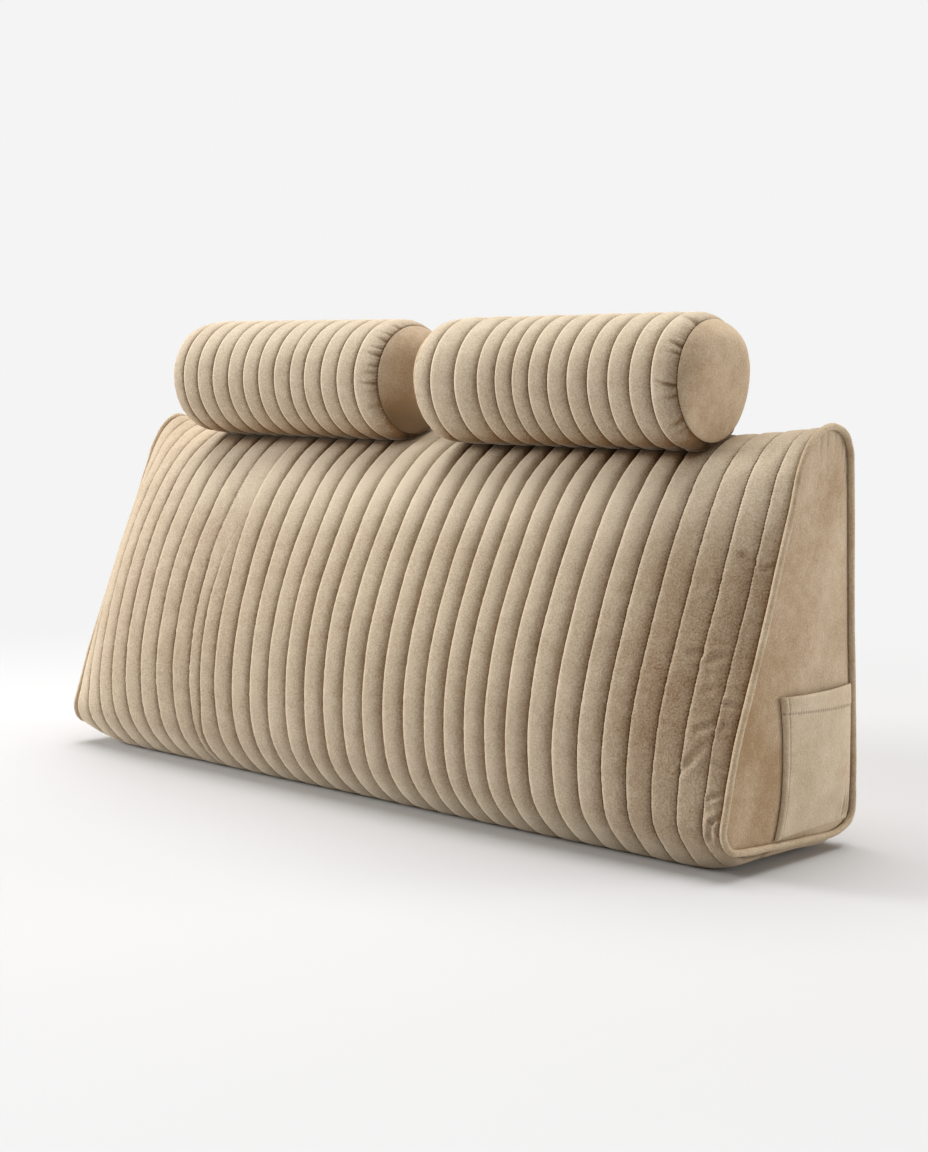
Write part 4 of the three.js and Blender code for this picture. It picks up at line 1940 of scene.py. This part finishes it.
@dataclass
class Wedge:
    """The wedge with all of its panels, pipings and pocket.

    Attributes:
        form: the wedge's form.
        finishes: the velvets.
    """

    form: WedgeForm
    finishes: Finishes

    def build(self) -> None:
        """Builds and dresses every piece of the wedge."""
        cover = add_piece(
            "quilted_cover", QuiltedCover(self.form).build(), self.finishes.quilted,
            ["wedge_body"],
        )
        for name, node, first, last, seed in (
            ("back_cloth", "back_panel", ROW["top seam"] + 0.6, float(ROW["heel"]), Seed.BACK),
            ("base_cloth", "base_panel", ROW["heel"] + 0.03, float(ROW["base edge"]), Seed.BASE),
        ):
            panel = PlainPanel(self.form, first, last, seed)
            piece = add_piece(name, panel.build(), self.finishes.plain, [node])
        for side in Side:
            self._end(side)

    def _end(self, side: Side) -> None:
        """Builds one end's panel and piping, and the pocket on the right one.

        Args:
            side: which end.
        """
        piping = add_piece(
            f"corded_piping_{side.word}", Piping(self.form, side).build(),
            self.finishes.piping, [f"piping_{side.word}"],
        )
        panel = EndPanel(self.form, side)
        cloth = panel.build()
        piece = add_piece(
            f"end_cloth_{side.word}", cloth, self.finishes.plain,
            [f"end_panel_{side.word}"],
        )
        if side is Side.RIGHT:
            self._pocket(panel)

    def _pocket(self, panel: EndPanel) -> None:
        """Builds the side pocket.

        Args:
            panel: the end panel that it is sewn to.
        """
        pocket = SidePocket(panel)
        cloth = pocket.build()
        piece = add_piece("patch_pocket", cloth, self.finishes.pocket, ["side_pocket"])


@dataclass
class Headrests:
    """The two bolsters.

    Attributes:
        form: the wedge that they lie on.
        finishes: the velvets.
    """

    form: WedgeForm
    finishes: Finishes

    def build(self) -> None:
        """Builds and dresses both bolsters and their discs."""
        left = Bolster(
            self.form, Side.LEFT, (-223.5, 24, 549.5), -0.33, quilting=mm(4.4),
            channels_mm=(26.5, 30.5, 31.7, 32.5, 31.1, 30.7, 31.7, 31.4, 27.6, 31.9, 30.5, 31.4, 37.6),
            pleats=(
                Pleat(66, 12, 2.4, 1.8), Pleat(52, 10, 2.4), Pleat(42, 13, 3.0, 1.6, 2), Pleat(33, 11, 2.4),
                Pleat(25, 15, 3.4, 1.8, 1), Pleat(14, 10, 2.2), Pleat(7, 13, 2.2), Pleat(-3, 18, 3.6, 1.5),
                Pleat(-11, 12, 2.6), Pleat(-27, 14, 2.0, 3), Pleat(-49, 14, 2.2, 2.4, -2),
                Pleat(40, 10, 1.5, end=Side.LEFT), Pleat(12, 12, 1.7, end=Side.LEFT),
                Pleat(150, 12, 1.8, 2.4), Pleat(172, 10, 1.5), Pleat(196, 11, 1.6),
            ),
        )
        right = Bolster(
            self.form, Side.RIGHT, (269, 20, 548.5), 0.28,
            channels_mm=(30, 40.4, 37.8, 29, 27.1, 25.5, 29.4, 29.7, 30.1, 29.9, 31.5, 30.1, 33.7),
            pleats=(
                Pleat(64, 20, 5.0, 2.8, 3), Pleat(32, 13, 3.6, 1.6, 2), Pleat(25, 12, 2.6),
                Pleat(-4, 17, 5.0, 1.5, 2), Pleat(-13, 13, 3.4, 1.8, -1), Pleat(-36, 15, 3.8, 2.0, -4),
                Pleat(-47, 12, 3.0, 2, -3),
                Pleat(20, 10, 1.4, end=Side.LEFT), Pleat(-14, 12, 1.6, end=Side.LEFT),
                Pleat(140, 12, 1.8, 2.4), Pleat(165, 10, 1.5), Pleat(201, 12, 1.7),
            ),
        )
        for bolster in (left, right):
            name = f"bolster_{bolster.side.word}"
            cloth = bolster.build()
            roll = add_piece(f"quilted_{name}", cloth, self.finishes.quilted, [name])
            for end in Side:
                cloth, area = bolster.disc(end)
                piece = add_piece(
                    f"{name}_end_cloth_{end.word}", cloth, self.finishes.plain,
                    [f"{name}_disc_{end.word}"],
                )


@dataclass
class Studio:
    """Pale floor, soft light and the camera at the photograph's angle.

    Attributes:
        form: the wedge's form.
        background: colour of the far floor and of the air behind.
        paper: colour of the floor near the pillow.
        warm_air: colour of the dim light from all round.
        focal_px: focal length in pixels of the 928 by 1152 frame.
        frame_height_px: that frame's height.
        camera_at: the camera's place in the wedge's own frame.
        yaw: degrees that the camera is turned to the left of +Y.
        pitch: degrees that it looks down.
    """

    form: WedgeForm
    background: str = "#f4f4f4"
    paper: str = "#c6c7c9"
    warm_air: str = "#ffe6c8"
    focal_px: float = 1951.8
    frame_height_px: float = 1152
    camera_at: tuple[float, float, float] = (1.8267, -1.8327, 0.5675)
    yaw: float = 43.305
    pitch: float = 6.16

    def build(self) -> None:
        """Builds the camera, the lights, the world and the floor."""
        self._camera()
        self._softbox("key_softbox", (-4.1, -2.5, 1.6), size=1.6, watts=238)
        self._sun("overhead_light", (-0.1, 0.12, 1.0), strength=3.5, softness=60)
        self._sun("far_side_light", (0.8, 0.8, 0.2), strength=1.7, softness=30)
        self._world()
        self._floor()
        bpy.context.scene.view_settings.view_transform = "Standard"

    def _camera(self) -> None:
        """Places the camera."""
        data = bpy.data.cameras.new("camera")
        data.sensor_fit = "VERTICAL"
        data.sensor_height = data.sensor_width = 36.0
        data.lens = self.focal_px * data.sensor_height / self.frame_height_px
        camera = add_object("camera", data)
        camera.location = Vector(self.camera_at) + Vector((*self.form.origin, 0))
        camera.rotation_euler = (math.radians(90 - self.pitch), 0, math.radians(self.yaw))
        bpy.context.scene.camera = camera

    @staticmethod
    def _softbox(name: str, place: tuple[float, float, float], size: float, watts: float) -> None:
        """Adds a square softbox that faces the middle of the pillow.

        Args:
            name: the light's name.
            place: where it stands.
            size: length of its side.
            watts: its power.
        """
        data = bpy.data.lights.new(name, "AREA")
        data.energy = watts
        data.shape = "SQUARE"
        data.size = size
        light = add_object(name, data)
        light.location = place
        middle_height = 0.25
        aim = Vector(place) - Vector((0, 0, middle_height))
        light.rotation_euler = aim.to_track_quat("Z", "Y").to_euler()

    @staticmethod
    def _sun(name: str, towards: tuple[float, float, float], strength: float, softness: float) -> None:
        """Adds a soft light that comes from a direction.

        Args:
            name: the light's name.
            towards: direction from the pillow to the light.
            strength: in watts for each square metre.
            softness: degrees that the light spreads over.
        """
        data = bpy.data.lights.new(name, "SUN")
        data.energy = strength
        data.angle = math.radians(softness)
        light = add_object(name, data)
        light.rotation_euler = Vector(towards).to_track_quat("Z", "Y").to_euler()

    def _world(self) -> None:
        """Lights the air: dim for the cloth, pale for what the camera sees behind it."""
        world = bpy.data.worlds.new("studio air")
        tree = empty_tree(world)
        seen, lit = (
            add_node(tree, "Background", {}, {"Color": linear_colour(colour), "Strength": level}).outputs[0]
            for colour, level in ((self.background, 1.0), (self.warm_air, 0.18))
        )
        straight = add_node(tree, "LightPath").outputs["Is Camera Ray"]
        air = add_node(tree, "MixShader", {}, {0: straight, 1: lit, 2: seen}).outputs[0]
        add_node(tree, "OutputWorld", {}, {"Surface": air})
        bpy.context.scene.world = world

    def _floor(self) -> None:
        """Adds the floor: a wide flat sheet of matt white paper.

        Its pressed fibres have no gloss, so to the eye it only carries the soft shadows. Further than a
        step from the pillow it passes into the white of the air behind.
        """
        reach = 40.0
        mesh = bpy.data.meshes.new("floor")
        corners = [(-reach, -reach, 0), (reach, -reach, 0), (reach, reach, 0), (-reach, reach, 0)]
        mesh.from_pydata(corners, [], [(0, 1, 2, 3)])
        material = bpy.data.materials.new("Matt white paper")
        tree = empty_tree(material)
        paper = add_node(tree, "BsdfDiffuse", {}, {"Color": linear_colour(self.paper)}).outputs[0]
        far = add_node(tree, "Emission", {}, {"Color": linear_colour(self.background)}).outputs[0]
        place = add_node(tree, "TexCoord").outputs["Object"]
        away = add_node(tree, "VectorMath", {"operation": "LENGTH"}, {0: place}).outputs["Value"]
        fade = add_node(
            tree, "MapRange", {"interpolation_type": "SMOOTHSTEP"},
            {"Value": away, "From Min": 0.7, "From Max": 1.9},
        ).outputs["Result"]
        surface = add_node(tree, "MixShader", {}, {0: fade, 1: paper, 2: far}).outputs[0]
        add_node(tree, "OutputMaterial", {}, {"Surface": surface})
        mesh.materials.append(material)
        add_object("floor", mesh)


def main() -> None:
    """Builds the pillow and its studio."""
    logging.basicConfig(level=logging.INFO, format="%(name)s: %(message)s")
    form = WedgeForm.from_frame()
    finishes = Finishes.make()
    Studio(form).build()
    Wedge(form, finishes).build()
    Headrests(form, finishes).build()


if __name__ == "__main__":
    main()
